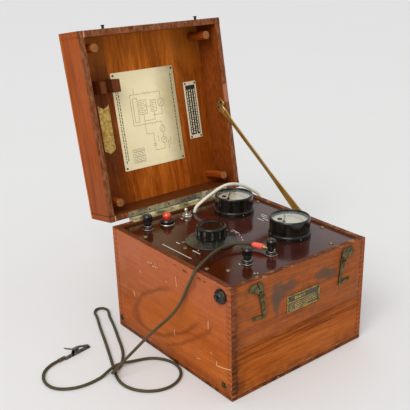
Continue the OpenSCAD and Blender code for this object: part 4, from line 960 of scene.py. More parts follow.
plug_at = np.array([*POSTS["right"], PANEL + 7.1])
plug_way = heading(90.0 + PLUG_TURN)
tail = plug_at + PLUG_TAIL * plug_way
CLIP_AT, CLIP_TURN, BARREL_Z, BARREL_END = np.array([LEFT - 95, 108.0, 0.0]), 10.0, 2.8, 31.0
clip_way = heading(CLIP_TURN)
clip_end = CLIP_AT + [0, 0, BARREL_Z] - BARREL_END * clip_way
LIE = TEST_R + 0.2
test_route = np.concatenate([
    [tail, tail + 4 * plug_way, (tail[0] - 6.5, tail[1] + 9, PANEL + 7.6), (tail[0] - 15, tail[1] + 14.5, PANEL + 8),
     (tail[0] - 47, tail[1] + 16.5, PANEL + 8), (-95, -51.5, PANEL + 7.5)],
    np.array([(6, -66.3, 172.4), (-3.4, -69.6, 169), (-7, -67.6, 160), (-5.8, -55, 141), (-6.2, -42, 117),
              (-14, -32, 96.5), (-37, -14, 68), (-66, 0, 38), (-81, 3.4, 26.2), (-88.6, 6.2, 18.4),
              (-90.8, 10.6, 12.4), (-87, 16.8, 8.4), (-79.6, 22.4, 6.9), (-71, 28.6, 3.6), (-62, 36.5, LIE),
              (-49, 52.5, LIE), (-28, 98, LIE), (-6.6, 153, LIE), (1.4, 174.5, LIE), (7.4, 190, LIE),
              (4.8, 199.6, LIE), (-3, 203, LIE), (-10.6, 198, LIE), (-16.3, 184, LIE), (-25, 162, LIE),
              (-45, 111, LIE), (-77, 32, LIE), (-88, -10, LIE), (-76, -41, LIE), (-46, -57, LIE), (-14, -42.5, LIE),
              (-4.8, -9, LIE), (-24, 22, LIE), (-50, 29.8, LIE + 1.8), (-70, 30.6, LIE + 5.2), (-81, 29.4, LIE + 4.6),
              (-100, 25.4, LIE + 0.3), (-140, 26, LIE), (-163, 45, LIE), (-163, 76, LIE),
              (-146, 96.5, LIE)]) + [LEFT, 0, 0],
    [clip_end - 6 * clip_way, clip_end]])
test_path = np.maximum(curve_through(test_route, 12), [-np.inf, -np.inf, LIE])
test_lead, test_length = lead_piece("test_lead_flex", test_path, TEST_R, "brown_flex", "test_lead", 12)


# The case and the lid

def thickness(side, size):
    """Where the case's wall begins and ends on one side of a width or depth, the lower value first."""
    return sorted((side * size / 2, side * (size / 2 - WALL)))


def wall(across, side, low, height):
    """A board across the front or the back, or else from front to back, and its share of the corner joints:
    eased blocks one finger high, every other one up each corner."""
    ends = [(-INNER_W / 2, INNER_W / 2), (-INNER_D / 2, INNER_D / 2)]
    ends[across] = thickness(side, CASE_D if across else CASE_W)
    (x0, x1), (y0, y1) = ends
    boards = [block((x0, y0, low), (x1, y1, low + height), 0.7)]
    count = 2 * int(height / FINGER / 2) + 1
    pitch = height / count
    at = low + pitch * np.arange(int(not across), count, 2)
    for end in (-1, 1):
        sx, sy = (end, side) if across else (side, end)
        (x0, x1), (y0, y1) = thickness(sx, CASE_W), thickness(sy, CASE_D)
        outer = {(-1, -1): 0, (1, -1): 1, (1, 1): 2, (-1, 1): 3}[sx, sy]
        one = plate((x0, y0), (x1, y1), np.where(np.arange(4) == outer, 1.3, 0.05), 0.0, pitch, 0.16)
        boards.append(repeat(one, np.stack([0 * at, 0 * at, at], -1)))
    return join(*boards)


def ledge(side):
    """The batten under the panel's edge."""
    x = sorted((side * INNER_W / 2, side * (INNER_W / 2 - 8)))
    return block((x[0], -INNER_D / 2 + 28, PANEL - 15), (x[1], INNER_D / 2 - 28, PANEL - PANEL_T), 0.4)


WALLS = (("front", True, -1), ("back", True, 1), ("left", False, -1), ("right", False, 1))
piece("case_base", block((LEFT, FRONT, 0), (-LEFT, -FRONT, BASE), 0.9), "base_wood", "base_board")
for name, across, side in WALLS:
    board = wall(across, side, BASE, CASE_H - BASE)
    board = board if across else join(board, ledge(side))
    piece(f"case_{name}", board, f"{name}_wood", f"{name}_wall")

pale_scratches = np.array([
    ((-90.9, 104.2), (-90.3, 90.8)), ((-20.3, 142.9), (-22, 127.8)), ((-11.5, 56.5), (-10.8, 46.2)),
    ((-93.9, 57.7), (-97.5, 55.3)), ((-106.9, 48.6), (-106.8, 42.1)), ((-106.8, 42.1), (-122, 45.2)),
    ((-122, 45.2), (-137.4, 49.7)), ((4.7, 127.1), (0.6, 125.9)), ((-62, 33), (-71, 35)), ((70, 120), (66, 117)),
    ((46, 144), (42, 138)), ((38, 145), (35, 137)), ((30, 144.5), (26, 138)), ((48, 141), (36, 142.5)),
    ((36, 139), (22, 141)), ((90, 78), (88, 70)), ((-130, 150), (-127, 146)), ((120, 25), (112, 22))])
dark_scratches = np.array([
    ((47, 143), (36, 139)), ((44, 138), (32, 143)), ((36, 144), (27, 138)), ((30, 143), (19, 139)),
    ((40, 136.5), (41, 144)), ((24, 137), (27, 143)), ((-30, 116), (-36, 112)), ((-62, 140), (-66, 148)),
    ((105, 110), (101, 107)), ((60, 96), (57, 92))])
pale_widths = np.resize([1.1, 0.8, 0.9, 1.0, 1.2, 1.2, 1.2, 0.8, 0.7], len(pale_scratches))
for name, lines, widths, finish in (("side_scratches", pale_scratches, pale_widths, "raw_wood"),
                                    ("side_marks", dark_scratches, 0.6, "old_dirt")):
    piece(name, on_left(bars(lines[:, 0], lines[:, 1], widths, 0.03)), finish)

for name, across, side in WALLS:
    lid_piece(f"lid_{name}", open_lid(wall(across, side, RIM, LID_WALL)),
              "lid_long_wood" if across else "lid_side_wood", f"lid_{name}_wall")
lid_piece("lid_top", open_lid(block((LEFT, FRONT, CEILING), (-LEFT, -FRONT, CEILING + LID_BOARD), 1.2)),
          "lid_board_wood", "lid_board")
peg = turned([(0, 0), (6.5, 0), (6.5, LID_WALL - 5), (0, LID_WALL - 5)], 1.2, 40)
peg_spots = [(x, y, RIM + 5) for x in (-101, 101) for y in (-114, 114)]
lid_piece("lid_peg_row", open_lid(repeat(peg, peg_spots)), "peg_wood", "lid_pegs")


# The panel and its engraving

piece("panel_plate", block((-INNER_W / 2, -INNER_D / 2, PANEL - PANEL_T), (INNER_W / 2, INNER_D / 2, PANEL), 0.35),
      "panel_board", "panel")
word = (2.2, 1.6, 2.6, 1.4, 2.0, 1.8)
arc = KNOB + 45.0 * circle(np.radians(np.linspace(24, -48, 13)))
engraved = join(
    *[dashes(start, end, word * 4, gap, width) for start, end, gap, width in (
        ((-104.5, 40.5), (-103.6, -27), 0.75, 1.5), ((-85.5, 33.6), (-85.5, 23.5), 0.8, 1.9),
        ((-85.5, -5.7), (-85.3, -22.2), 0.8, 1.9), ((4.6, 15.6), (3.2, -1), 0.9, 1.6),
        ((80.8, 35.8), (80.3, 22), 0.7, 1.6), ((64, 27.3), (63.3, 11.9), 0.7, 1.6),
        ((70.2, 21.4), (69.6, 8), 0.7, 1.6), ((75.5, 31), (75.1, 17), 0.7, 1.6))],
    bars([(-80, 28), (-81.4, -11.6)], [(-74.5, 25.2), (-76, -8.2)], 0.8),
    bars(arc[:-1:2], arc[1::2] * 0.75 + arc[:-1:2] * 0.25, 1.1),
    bars([(-25, 105.7), (-65.3, -84.4), (-69.5, -117), (-66.2, -119.2)],
         [(-25.3, 99.8), (-65.2, -81.4), (-68, -118.2), (-64.8, -120.2)], (1.5, 1.7, 1.7, 1.7)))
piece("panel_engraving", on_panel(engraved, (0, 0)), "engraving_white")


# Meters

DIAL_TOP, DIAL_MARKS, SCREW_Z = 22.8, 21, 28.8
meter_shell = turned([(0, -42), (27, -42), (27, 0.0), (31.5, 0.0), (31.5, 5.9), (31.1, 6.6), (30.3, 7.1), (30.0, 7.9),
                      (30, 28.2), (29.0, 29.5), (28.0, 29.5), (27.4, 28.7), (27.4, 6.4), (25, 6.4), (25, -40),
                      (0, -40)], 0.5, 96)
flange_dot = turned([(0, 0), (0.9, 0), (0.8, 0.35), (0, 0.55)], 0.1, 20)
screw_side = eased([(0, 28.0), (3.7, 28.0), (3.6, 29.0), (2.9, 29.3), (2.6, SCREW_Z), (0, SCREW_Z)], 0.2, 3)
screw_slot = bars([(-2.1, -0.9)], [(2.1, 0.9)], 0.7, 0.12)
zero_screw = join(lathe(screw_side, 32), placed(screw_slot, (0, 0, SCREW_Z)))
pivot = np.array([-12.0, 0.0])
sweep = np.linspace(-45, 45, DIAL_MARKS)
spoke = circle(np.radians(sweep))
major = np.arange(DIAL_MARKS) % 5 == 0
scale_lines = join(
    bars(pivot + 27.2 * spoke, pivot + np.where(major, 31.5, 29.6)[:, None] * spoke, np.where(major, 0.6, 0.35)),
    polyline(pivot + 27.2 * spoke, 0.35),
    *[placed(lettering(figure, 3.6), (*(pivot + 23.6 * spoke[i]), 0.05), rotation("z", sweep[i] - 90))
      for i, figure in zip(np.flatnonzero(major), ("0", "25", "50", "75", "100"))])
for name, (x, y) in METERS.items():
    piece(f"meter_{name}_shell", on_panel(meter_shell, (x, y)), "black_moulding", f"meter_{name}_case")
    piece(f"meter_{name}_dot", placed(flange_dot, (x - 7.0, y - 30.6, PANEL + 3.0), rotation("x", 90.0)), "nickel")
    piece(f"meter_{name}_zero_screw", on_panel(zero_screw, (x - 17.5, y + 3.0)), "black_moulding")
    piece(f"meter_{name}_scale", placed(scale_lines, (x, y, PANEL + DIAL_TOP)), "dial_ink")
window = turned([(0, 26.1), (28.3, 26.1), (28.3, 28.1), (0, 28.1)], 0.3, 72)
face = turned([(0, DIAL_TOP - 0.8), (27, DIAL_TOP - 0.8), (27, DIAL_TOP), (0, DIAL_TOP)], 0.2, 64)
meter_spots = [(*xy, PANEL) for xy in METERS.values()]
piece("meter_windows", repeat(window, meter_spots), "meter_glass", "meter_glasses")
piece("meter_faces", repeat(face, meter_spots), "dial_face", "meter_dials")


# The selector knob

def knob_flutes(angle, z, r):
    """Round hollows up the knob's side, dying out at its foot and just below its top edge."""
    hollow = np.clip(np.cos(angle * KNOB_FLUTES) + 0.3, 0, 1.3) / 1.3
    rise = np.clip((z - 4.9) / 0.8, 0, 1) * np.clip((22.2 - z) / 1.5, 0, 1) * (r > 17)
    return -2.2 * hollow ** 0.7 * rise


knob = turned([(0, 0.6), (37.5, 0.6), (37.5, 1.7), (25.2, 4.0), (22.2, 4.7), (22, 5.0), (22, 5.8), (22, 12),
               (22, 20.4), (22, 21.2), (22, 22.3), (21.4, 23.8), (20.2, 24.9), (19.4, 25), (15.2, 25), (14.2, 23.8),
               (0, 23.8)], 0.35, 192, knob_flutes)
piece("knob_body", on_panel(knob, KNOB, KNOB_TURN), "knob_black", "selector_knob", "selector_knob")
knob_dot = placed(lathe([(0, 0), (0.9, 0), (0.7, 0.3), (0, 0.35)], 20), (20.9, 0, 7.6), rotation("y", 90.0))
piece("knob_index", on_panel(knob_dot, KNOB, -98.0), "engraving_white", body="selector_knob")


# Terminals, lamp, toggle and grommet

CAP_GROOVES = 16


def cap_ribs(angle, z, r):
    """Round grooves up a terminal cap's side between two heights."""
    groove = np.clip(np.cos(angle * CAP_GROOVES), 0, 1) ** 1.5
    return -0.5 * groove * np.clip((z - 11.6) / 0.5, 0, 1) * np.clip((18.7 - z) / 0.5, 0, 1)


def six_sides(angle, z, r):
    """Draws a turned outline in to a six-sided nut: the radius falls to the flats."""
    flat = np.cos(np.pi / 6) / np.cos((angle + np.pi / 6) % (np.pi / 3) - np.pi / 6)
    return np.where(r > 6.2, r * (flat - 1), 0.0)


def domed(points, ease, radius, centre, start, steps):
    """A turned shape whose eased profile ends in part of a ball, from the start angle to the top."""
    ball = radius * circle(np.linspace(start, np.pi / 2, 14)) + [0, centre]
    return lathe(np.concatenate([eased(points, ease), ball]), steps)


collar = turned([(0, -9), (6.5, -9), (6.5, -5), (3.5, -5), (3.5, 0), (8, 0), (8, 2.4), (7.2, 3.4), (5.6, 4.0),
                 (5.2, 4.6), (5.2, 9.2), (3.5, 9.2)], 0.4, 48)
post_rings = join(turned([(5.1, 4.3), (5.55, 4.3), (5.6, 4.6), (5.5, 4.9), (5.1, 5.0)], 0.1, 48),
                  turned([(7.6, 0), (8.35, 0), (8.4, 0.25), (8.2, 0.45), (7.6, 0.5)], 0.08, 48))
stud = turned([(0, -18), (3.5, -18), (3.5, 22.9), (2.9, 23.5), (0, 23.5)], 0.3, 32)
cap = turned([(3.55, 9.4), (5.8, 9.4), (7, 10.8), (7, 11.5), (7, 12), (7, 15), (7, 18.2), (7, 18.8), (7, 19.7),
              (5.6, 21.9), (3.55, 21.9)], 0.25, 128, cap_ribs)
post_spots = [(*xy, PANEL) for xy in POSTS.values()]
piece("terminal_collars", repeat(collar, post_spots), "black_moulding", "terminal_bases")
piece("terminal_rings", repeat(post_rings, post_spots), "nickel")
piece("terminal_studs", repeat(stud, post_spots), "stud_grey")
for name, xy in POSTS.items():
    piece(f"terminal_{name}_grip", on_panel(cap, xy), "black_moulding", f"terminal_cap_{name}", f"terminal_cap_{name}")

lamp_washer = turned([(8.2, 0), (11.2, 0), (11.3, 0.7), (10.9, 1.3), (8.2, 1.3)], 0.3, 64)
lamp_bezel = turned([(0, -34), (8.2, -34), (8.2, 1.2), (10.9, 1.2), (10.9, 5.2), (9.4, 8.0), (6.7, 8.0), (6.6, 2.2),
                     (0, 2.2)], 0.5, 64)
lamp_cap = domed([(0, 2), (6.4, 2), (6.4, 12.1)], 0.3, 6.4, 12.1, 0.0, 48)
piece("lamp_ring", on_panel(lamp_washer, LAMP), "nickel")
piece("lamp_bezel", on_panel(lamp_bezel, LAMP), "black_moulding", "lamp_holder")
piece("lamp_cap", on_panel(lamp_cap, LAMP), "lamp_red", "lamp_lens")

toggle_nut = turned([(4.2, 0), (8.6, 0), (8.6, 2.3), (7.6, 3.0), (6.1, 3.1), (6.0, 5.4), (5.4, 6.0), (4.2, 6.0),
                     (4.2, -6), (7, -9), (7, -30), (0, -30)], 0.25, 72, six_sides)
toggle_lever = domed([(0, -7), (1.4, -7), (1.4, -2.4), (2.7, -0.6), (2.7, 0.8), (1.7, 2.6), (2.0, 7.2)], 0.4,
                     2.9, 9.6, -1.15, 32)
grommet = turned([(2.9, -7), (6.2, -7), (6.2, -5), (4.6, -5), (4.6, 0), (6.2, 0), (5.8, 1.0), (3.7, 1.6), (2.9, 1.2),
                  (2.9, -7)], 0.3, 48)
piece("toggle_bush", on_panel(toggle_nut, TOGGLE, 12.0), "nickel", "toggle_switch")
piece("toggle_handle", placed(toggle_lever, (*TOGGLE, PANEL + 1.5), rotation("x", -12.0)), "nickel", "toggle_lever",
      "toggle_lever")
piece("lead_grommet", on_panel(grommet, GROMMET), "black_rubber", "mains_grommet")


# The test lead's plug and clip

plug_axes = rotation("z", PLUG_TURN) @ rotation("x", -90.0)
sleeve = turned([(0, 13.5), (3.6, 13.5), (4.2, 15), (4.2, 17.2), (3.9, 17.7), (4.2, 18.2), (4.2, 20.4), (3.9, 20.9),
                 (4.2, 21.4), (4.2, 24), (3.7, 25.5), (4.2, 27), (3.2, 31), (0, 31)], 0.35, 40)
pin = turned([(0, -6), (1.6, -6), (1.95, -5.4), (1.95, 8.4), (3.0, 8.6), (3.0, 10.4), (2.7, 10.8), (3.0, 11.2),
              (3.0, 13.5), (0, 13.5)], 0.25, 32)
piece("plug_sleeve", placed(sleeve, plug_at, plug_axes), "red_sleeve", "test_plug_sleeve")
piece("plug_pin", placed(pin, plug_at, plug_axes), "bright_brass", "test_plug_pin")


def on_clip(surface):
    """A surface drawn in the clip's own axes, laid where the clip is."""
    return placed(surface, CLIP_AT, rotation("z", CLIP_TURN))


def pressed(outline, width, ease, *shifts):
    """Pressed sides of the clip: the outline in (x, z), as wide as the sheet, at each shift to its side."""
    return [slab(outline, -width / 2 - shift, width / 2 - shift, ease, "front") for shift in shifts]


barrel = turned([(0, -BARREL_END), (2.8, -BARREL_END), (2.8, -24), (2.3, -23.4), (2.3, -22.6), (2.8, -22), (2.8, -20),
                 (0, -20)], 0.3, 28)
rivet = turned([(0, -4.3), (1.7, -4.3), (1.7, -3.9), (1.1, -3.8), (1.1, 3.8), (1.7, 3.9), (1.7, 4.3), (0, 4.3)],
               0.15, 24)
lower_jaw = join(
    *pressed([(-21, 0), (24, 0), (24, 0.9), (-21, 0.9)], 8, 0.18, 0),
    *pressed([(15, 0.7), (24, 0.7), (23.4, 2.9), (21.6, 1.7), (20, 2.7), (18.4, 1.6), (16.8, 2.5)], 6, 0.18, 0),
    *pressed([(-6, 0.7), (6, 0.7), (3, 7.8), (-3, 7.8)], 0.9, 0.15, 3.55, -3.55),
    placed(barrel, (0, 0, BARREL_Z), rotation("y", 90.0)), placed(rivet, (0, 0, 5.6), rotation("x", 90.0)))
upper_jaw = join(
    *pressed([(24, 3.4), (6, 9.2), (-4, 9.4), (-18, 17.4), (-18.5, 16.6), (-4, 8.3), (6, 8.2), (17, 4.4), (18.6, 3.4),
              (20.2, 4), (21.8, 2.9), (23.2, 3.6)], 5.8, 0.12, 0),
    *pressed([(-3, 3.6), (3, 3.6), (4, 8.6), (-4, 8.6)], 0.9, 0.15, 2.45, -2.45))
clip_low = piece("clip_base", on_clip(lower_jaw), "clip_steel", "clip_lower_jaw")
clip_high = piece("clip_jaw", on_clip(upper_jaw), "clip_steel", "clip_upper_jaw", "clip_upper_jaw")


# The mains lead's tie and plug

TIE_W, TIE_T = 8.0, 0.8
tie_low = (COIL_R - COIL_STEP * LAYER_TURNS - MAINS_R - 1.5 * TIE_T, TIE_T / 2)
tie_high = (COIL_R + MAINS_R + 1.5 * TIE_T, 1.5 + 2 * MAINS_R + (LAYERS - 1) * COIL_RISE + 1.5 * TIE_T)
tie_loop = rounded_rect(tie_low, tie_high, (4, 4, 9, 9), 8)
tie_path = np.insert(np.concatenate([tie_loop, tie_loop[:1]]), 1, 0.0, axis=1)
tie_across = np.array([0.0, 1.0, 0.0])
tie_out = np.cross(unit(np.gradient(tie_path, axis=0)), tie_across)
tie_band = ribbon(tie_path - TIE_T / 2 * tie_out, tie_across, tie_out, TIE_W, TIE_T)
coil_tie = piece("coil_band", placed(tie_band, (*COIL, 0), rotation("z", -60.0)), "tie_cloth", "coil_tie")
plug_r = COIL_END[2] - 0.2
plug_shell = turned([(0, 0), (4.0, 0), (4.6, 0.6), (5.2, 3), (4.6, 4), (5.4, 5), (6.0, 8), (6.6, 10), (plug_r - 6, 18),
                     (plug_r, 24), (plug_r, 38), (plug_r - 2, 40), (0, 40)], 1.0, 56)
prong, prong_faces = turned([(0, 39), (1, 39), (1, 57), (0.8, 58), (0, 58)], 0.06, 24)
prongs = join(*[(prong * [r, r, 1] + [x, y, 0], prong_faces)
                for x, y, r in ((-11, 0, 3.5), (7, -9, 2.6), (7, 9, 2.6))])
along_x = rotation("y", 90.0)
mains_plug = piece("mains_plug_shell", placed(plug_shell, COIL_END, along_x), "brown_moulding", "mains_plug")
plug_prongs = piece("mains_plug_prongs", placed(prongs, COIL_END, along_x), "bright_brass")


# The lid's plates, prongs and stay

INK, PLATE_T = 0.5, 1.0


def box_line(low, high, width):
    """A drawn rectangle."""
    (x0, y0), (x1, y1) = low, high
    return polyline([(x0, y0), (x1, y0), (x1, y1), (x0, y1), (x0, y0)], width)


def zigzag(start, end, teeth, swing):
    """A drawn resistor: a zigzag about the line from start to end."""
    run = np.subtract(end, start)
    way = unit(run)
    t = np.linspace(0, 1, 2 * teeth + 1)[:, None]
    return polyline(start + t * run + np.resize([0, swing, 0, -swing], len(t))[:, None] * [-way[1], way[0]], INK)


def print_rows(low, high, rows, width):
    """Greeked rows of print filling a rectangle, each shifted along the pattern of word lengths."""
    lengths = ((5, 3, 7, 4, 6), (7, 4, 3, 6, 5), (4, 6, 5, 3, 7))
    return join(*[dashes((low[0], y), (high[0], y), lengths[i % 3] * 6, 1.6, width)
                  for i, y in enumerate(np.linspace(high[1], low[1], rows))])


lid_piece("diagram_card", on_lid_face(plate((-58, 60.5), (58, 213), 1.5, 0.0, PLATE_T, 0.2)), "cream_plate",
          "diagram_plate")
drawn = join(
    *[polyline(line, INK) for line in (
        [(-22, 186), (-22, 176), (-6, 176)], [(8, 176), (26, 176), (26, 164)], [(26, 152), (26, 140), (8, 140)],
        [(-22, 176), (-30, 176), (-30, 128), (-9, 128), (-9, 144)], [(-2, 155), (6, 155)],
        [(11, 146), (11, 133), (-9, 133)], [(0, 128), (-9, 128)], [(14, 128), (22, 128), (22, 121)],
        [(22, 111), (22, 103)], [(22, 93), (22, 84), (4, 84), (4, 92)], [(4, 94.6), (4, 112), (-9, 112), (-9, 128)])],
    *[polyline([x, y] + r * circle(np.linspace(0, 2 * np.pi, 24)), INK)
      for x, y, r in ((26, 158, 6), (22, 116, 5), (22, 98, 5))],
    bars([(23, 154.5), (19.5, 113), (19.5, 95)], [(29, 161.5), (24.5, 119), (24.5, 101)], INK),
    zigzag((-6, 176), (8, 176), 6, 1.8), zigzag((0, 128), (14, 128), 5, 1.6),
    box_line((-16, 144), (-2, 166), INK), box_line((6, 146), (16, 164), INK), box_line((-26, 133), (-18, 170), INK),
    box_line((-40, 70), (-18, 92), 0.35), bars([(-33, 70), (-26, 70)], [(-33, 92), (-26, 92)], 0.35),
    print_rows((-14, 147), (-4, 163), 7, 0.6), print_rows((7.5, 148), (15, 162), 6, 0.6),
    *[print_rows((x, 72), (x + 5.5, 90), 8, 0.7) for x in (-38.5, -31.5, -24.5)],
    bars([(1, 92), (1, 94.6)], [(7, 92), (7, 94.6)], 0.7), dashes((34, 100), (34, 76), (2, 3, 2), 1.1, 0.8),
    dashes((30, 96), (30, 80), (3, 2, 2), 1.1, 0.8), dashes((12, 106), (12, 96), (2, 3), 1.0, 0.7))
lid_piece("diagram_print", on_lid_face(drawn, PLATE_T), "plate_ink")
margins = join(dashes((-53, 186), (-53, 72), (4, 2.4, 5.2, 3, 3.8) * 8, 1.3, 1.5),
               dashes((-49.4, 184), (-49.4, 76), (3, 5, 2.6, 4) * 8, 1.3, 1.5),
               dashes((51, 201), (51, 74), (5, 2.6, 4, 3.4, 6) * 8, 1.6, 1.7))
lid_piece("diagram_margins", on_lid_face(margins, PLATE_T), "bold_ink")
lid_piece("small_plate_border", on_lid_face(plate((74.5, 89.5), (99.5, 183), 1.0, 0.0, PLATE_T, 0.2)), "pale_print",
          "small_plate")
lid_piece("small_plate_field", on_lid_face(plate((77.4, 95.5), (96.6, 177), 0.6, 0.9, 1.06, 0.05)), "plate_black")
small_words = ((4, 2.4, 5, 3), (2.6, 5, 2, 4), (5, 2, 3.4))
small_print = join(*[dashes((x, 170), (x, 97), small_words[i % 3] * 7, 1.2, (1.6, 2.1)[i % 2])
                     for i, x in enumerate(np.linspace(80.0, 94.0, 4))])
lid_piece("small_plate_print", on_lid_face(small_print, 1.06), "pale_print")
label = np.array([(-9.5, 99), (0, 93), (9.5, 99), (9.5, 168), (0, 162), (-9.5, 168)]) + [-78, 0]
label_rim = drawn_in(label, 1.4)
label_line = polyline(np.concatenate([label_rim, label_rim[:1]]), 0.4, 0.04)
lid_piece("label_strip", on_lid_face(slab(label, 0.0, 0.5, 0.1)), "gold_foil", "label_plate")
lid_piece("label_rim", on_lid_face(label_line, 0.5), "gold_shadow")
stow = join(*[plate((x, 186), (x + w, 205), 1, 0.0, LID_WALL - 22, 1.0) for x, w in ((-93, 10.5), (-71, 12.5))])
lid_piece("stow_prongs", on_lid_face(stow), "prong_wood", "stow_block")

STRAP_RINGS, STRAP_HALF, FOOT_W, STRAP_TWIST = 61, 5.5, 14.5, math.radians(-20.0)
STAY_LID = np.array([INNER_W / 2, HINGE[1] - 137, RIM + 7])
stay_top = open_lid((STAY_LID[None] - [1.8, 0, 0], []))[0][0]
stay_foot = np.array([INNER_W / 2 - 1.8, -23.0, PANEL + 0.2])
stay_way = unit(stay_top - stay_foot)
stay_across = np.array([0.0, -stay_way[2], stay_way[1]])
stay_end = stay_top - 2.2 * stay_way
strap_ring = rounded_rect((-1, -0.9), (1, 0.9), 0.12, 3)
rise = np.linspace(0, 1, STRAP_RINGS)[:, None, None]
half = (1 - rise) * np.array([0, FOOT_W / 2 / stay_way[2], 0]) - rise * stay_across * STRAP_HALF
twist = STRAP_TWIST * soft_step(rise / 0.5) * soft_step((1 - rise) / 0.1)
wide = np.linalg.norm(half, axis=-1, keepdims=True)
sideways = np.array([1.0, 0, 0])
strap_verts = ((1 - rise) * stay_foot + rise * stay_end
               + strap_ring[None, :, :1] * (half * np.cos(twist) - wide * sideways * np.sin(twist))
               + strap_ring[None, :, 1:] * (sideways * np.cos(twist) + half / wide * np.sin(twist))).reshape(-1, 3)
strap_faces = [f[:, ::-1] for f in capped_faces(STRAP_RINGS, len(strap_ring))]
strap = piece("stay_band", (strap_verts, strap_faces), "strap_tan", "stay_strap", None)
strap_length = float(np.linalg.norm(stay_end - stay_foot)) * MM
put_marks(strap, along=np.repeat(np.linspace(0, strap_length, STRAP_RINGS), len(strap_ring)),
          around=np.tile((strap_ring[:, 0] + 1) / 2, STRAP_RINGS))
tuple((stay_foot + 12 * stay_way) * MM)
tuple((stay_end - 12 * stay_way) * MM)
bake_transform(strap)

stay_axes = rotation("x", LID_OPEN + math.degrees(math.atan2(stay_way[2], stay_way[1])))
facing_left = rotation("y", -90.0)
round_head = turned([(0, 0), (1.8, 0), (1.6, 0.6), (0.8, 1.0), (0, 1.1)], 0.3, 24)
bracket = join(block((-0.9, 2.4, -10), (0, 16, 10), 0.25),
               placed(turned([(0, -10), (1.7, -10), (1.7, 10), (0, 10)], 0.3, 28), (-1.8, 1.8, 0)),
               slab([(-9, -4.6), (0.8, -6.6), (0.8, 6.6), (-9, 4.6)], -3.7, -2.8, 0.2, "right"),
               *[placed(round_head, (-3.6, y, 0), facing_left) for y in (-2.2, -6.4)])
lid_piece("stay_butt", open_lid(placed(bracket, STAY_LID, stay_axes)), "bright_brass", "stay_bracket")


# The front's latches and nameplate, and the side socket

def round_hull(circles, steps=72):
    """The outline round several circles (x, y, r): at each angle, the point of the circle that reaches furthest."""
    way = circle(np.arange(steps) * 2 * np.pi / steps)
    c = np.asarray(circles, float)
    pick = np.argmax(way @ c[:, :2].T + c[:, 2], axis=1)
    return c[pick, :2] + c[pick, 2:] * way


def cut(outline, normal, reach):
    """The part of a convex outline on the near side of a line: points with normal . p up to reach."""
    d = outline @ np.asarray(normal) - reach
    after = np.roll(d, -1)
    leave, enter = np.flatnonzero((d <= 0) & (after > 0))[0], np.flatnonzero((d > 0) & (after <= 0))[0]
    ahead = np.roll(outline, -1, 0)
    cross = [outline[i] + (ahead[i] - outline[i]) * d[i] / (d[i] - after[i]) for i in (leave, enter)]
    turned_to = np.roll(outline, -(enter + 1), 0)
    return np.concatenate([turned_to[:(leave - enter) % len(outline)], cross])


LATCH_Z, STUD_DX, LATCH_TURN, HOOK_TILT = CASE_H - 21.5, 5.0, math.radians(150.0), math.radians(17.5)
STUD_RISE, HOOK_W = RIM + 5 - LATCH_Z, 4.2
STUD_U = -STUD_DX * math.cos(LATCH_TURN) - STUD_RISE * math.sin(LATCH_TURN)
STUD_V = -STUD_DX * math.sin(LATCH_TURN) + STUD_RISE * math.cos(LATCH_TURN)
HOOK_REACH = -STUD_U * math.sin(HOOK_TILT) - STUD_V * math.cos(HOOK_TILT) + 2.4


def hook_v(u, reach):
    """How far down the arm the hook's slanting edge lies at u across it."""
    return -(reach + u * math.sin(HOOK_TILT)) / math.cos(HOOK_TILT)


def latch_shape(flip):
    """A latch drawn flat: a boss, a leaning arm with a hooked foot, and a thumb leaf parted by a slit."""
    side, way = heading(27.0)[:2], heading(117.0)[:2]
    start = np.array([-3.2, 7.5])
    leaf = round_hull([(-15.5, 11.5, 5.8), (-3, 12.5, 5.8), (0, 2.5, 3)])
    lean = rotation("z", 8.5)[:2, :2].T
    heel, sole = ((u, hook_v(u, HOOK_REACH + HOOK_W)) for u in (2.4, -2.6))
    tip = np.array([-19.0, hook_v(-19.0, HOOK_REACH)])
    tip_low = tip - HOOK_W * np.array([math.sin(HOOK_TILT), math.cos(HOOK_TILT)])
    shapes = ((cut(leaf, side, float(start @ side) - 0.6), 2.0), (cut(leaf, -side, float(-(start @ side)) - 0.6), 2.0),
              (cut(leaf, way, float(start @ way)), 1.97), (round_hull([(0, 0, 5.5)], 48), 2.02),
              (np.array([(-4.4, 0), (-2.6, hook_v(-2.6, HOOK_REACH)), sole, heel, (4.4, 0)]) @ lean, 1.94),
              (np.array([tip, tip_low, heel, (2.4, hook_v(2.4, HOOK_REACH))]) @ lean, 1.91))
    return join(*[slab((shape * [flip, 1])[::flip], 0.0, thick, 0.3, "front") for shape, thick in shapes])


for name, x, flip in (("left", -77.5, 1), ("right", 78.0, -1)):
    piece(f"latch_{name}_plate", placed(latch_shape(flip), (x, FRONT - 1, LATCH_Z)), "latch_metal", f"latch_{name}",
          f"latch_{name}")

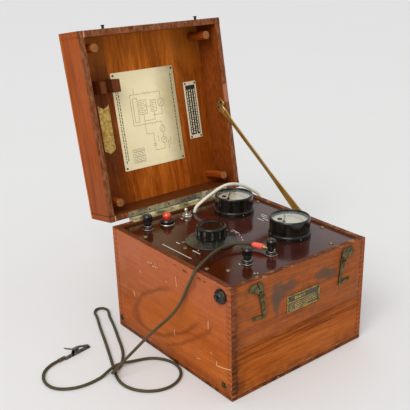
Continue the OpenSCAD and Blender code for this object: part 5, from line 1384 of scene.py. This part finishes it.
mid, name_half, name_face = np.array([1.2, 112.0]), np.array([31.25, 13]), 1.23
frame_bars = [((-30.65, -12.4), (30.65, -11.2)), ((-30.65, 11.2), (30.65, 12.4)), ((-30.65, -11.4), (-29.45, 11.4)),
              ((29.45, -11.4), (30.65, 11.4)), ((-29, 1.6), (29, 2.4))]
fields = [((-29, 2.8), (29, 10.8)), ((-29, -10.8), (29, 1.2))]
name_print = join(
    dashes(mid + (-17, 6.8), mid + (19, 6.8), (3, 2.4, 4, 2), 1.2, 4.2),
    *[dashes(mid + (-27, row), mid + (stop, row), words * 4, 1.0, 1.5) for row, stop, words in (
        (-1.2, 27, (3, 5, 4, 2)), (-4.0, 27, (4, 2, 6, 3)), (-6.8, 27, (2, 5, 3, 4)), (-9.4, 8, (5, 3, 4)))])
piece("nameplate_body", on_front(plate(mid - name_half, mid + name_half, 1.2, 0.0, 1.2, 0.2)), "aged_brass",
      "front_nameplate")
piece("nameplate_frame", on_front(join(*[plate(mid + a, mid + b, 0.3, 0.9, 1.5, 0.15) for a, b in frame_bars])),
      "nameplate_brass")
piece("nameplate_field", on_front(join(*[plate(mid + a, mid + b, 0.5, 1.1, name_face, 0.03) for a, b in fields])),
      "nameplate_dark")
piece("nameplate_print", on_front(placed(name_print, (0, 0, name_face))), "nameplate_brass")

socket = turned([(0, -8.5), (5, -8.5), (5, 0), (10.3, 0), (10.3, 2.6), (9.9, 3.4), (8.7, 5.6), (8.2, 5.9), (6.2, 8),
                 (4.2, 8), (3.8, 7), (2.1, 7), (2.1, 0.4), (0, 0.4)], 0.35, 56)
piece("socket_body", placed(socket, (LEFT, FRONT + 18.5, CASE_H - 15.5), facing_left), "socket_grey", "side_socket")


# The hinge's screws and seam, and the pieces that keep their frame shapes

rim_screw = lathe([(0, 0), (1.4, 0), (1.2, 0.08), (0.7, 0.11), (0, 0.1)], 20)
rim_screws = repeat(rim_screw, [(x, 134.2, 0) for x in (-87, -56, -20, 18, 55, 89)])
lid_piece("hinge_screws", on_lid_rim(rim_screws), "old_screw")
lid_piece("hinge_seam", on_lid_rim(bars([(-94, 138.5)], [(98, 138.5)], 0.8, 0.05)), "dark_steel")
for finish, names in {
        "screw_brass": "panel_screws", "old_screw": "case_screws", "dark_steel": "lid_screws",
        "hinge_brass": "hinge_case_leaf hinge_lid_leaf hinge_pin", "bright_brass": "stay_foot",
        "pointer_black": "pointer_rear pointer_front", "steel": "meter_movements transformer_core",
        "aged_brass": "selector_switch", "copper_winding": "transformer_winding", "valve_glass": "rectifier_valve",
        "board_brown": "component_board"}.items():
    for name in names.split():
        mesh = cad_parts[name].data
        mesh.materials.clear()
        mesh.materials.append(FINISHES[finish])
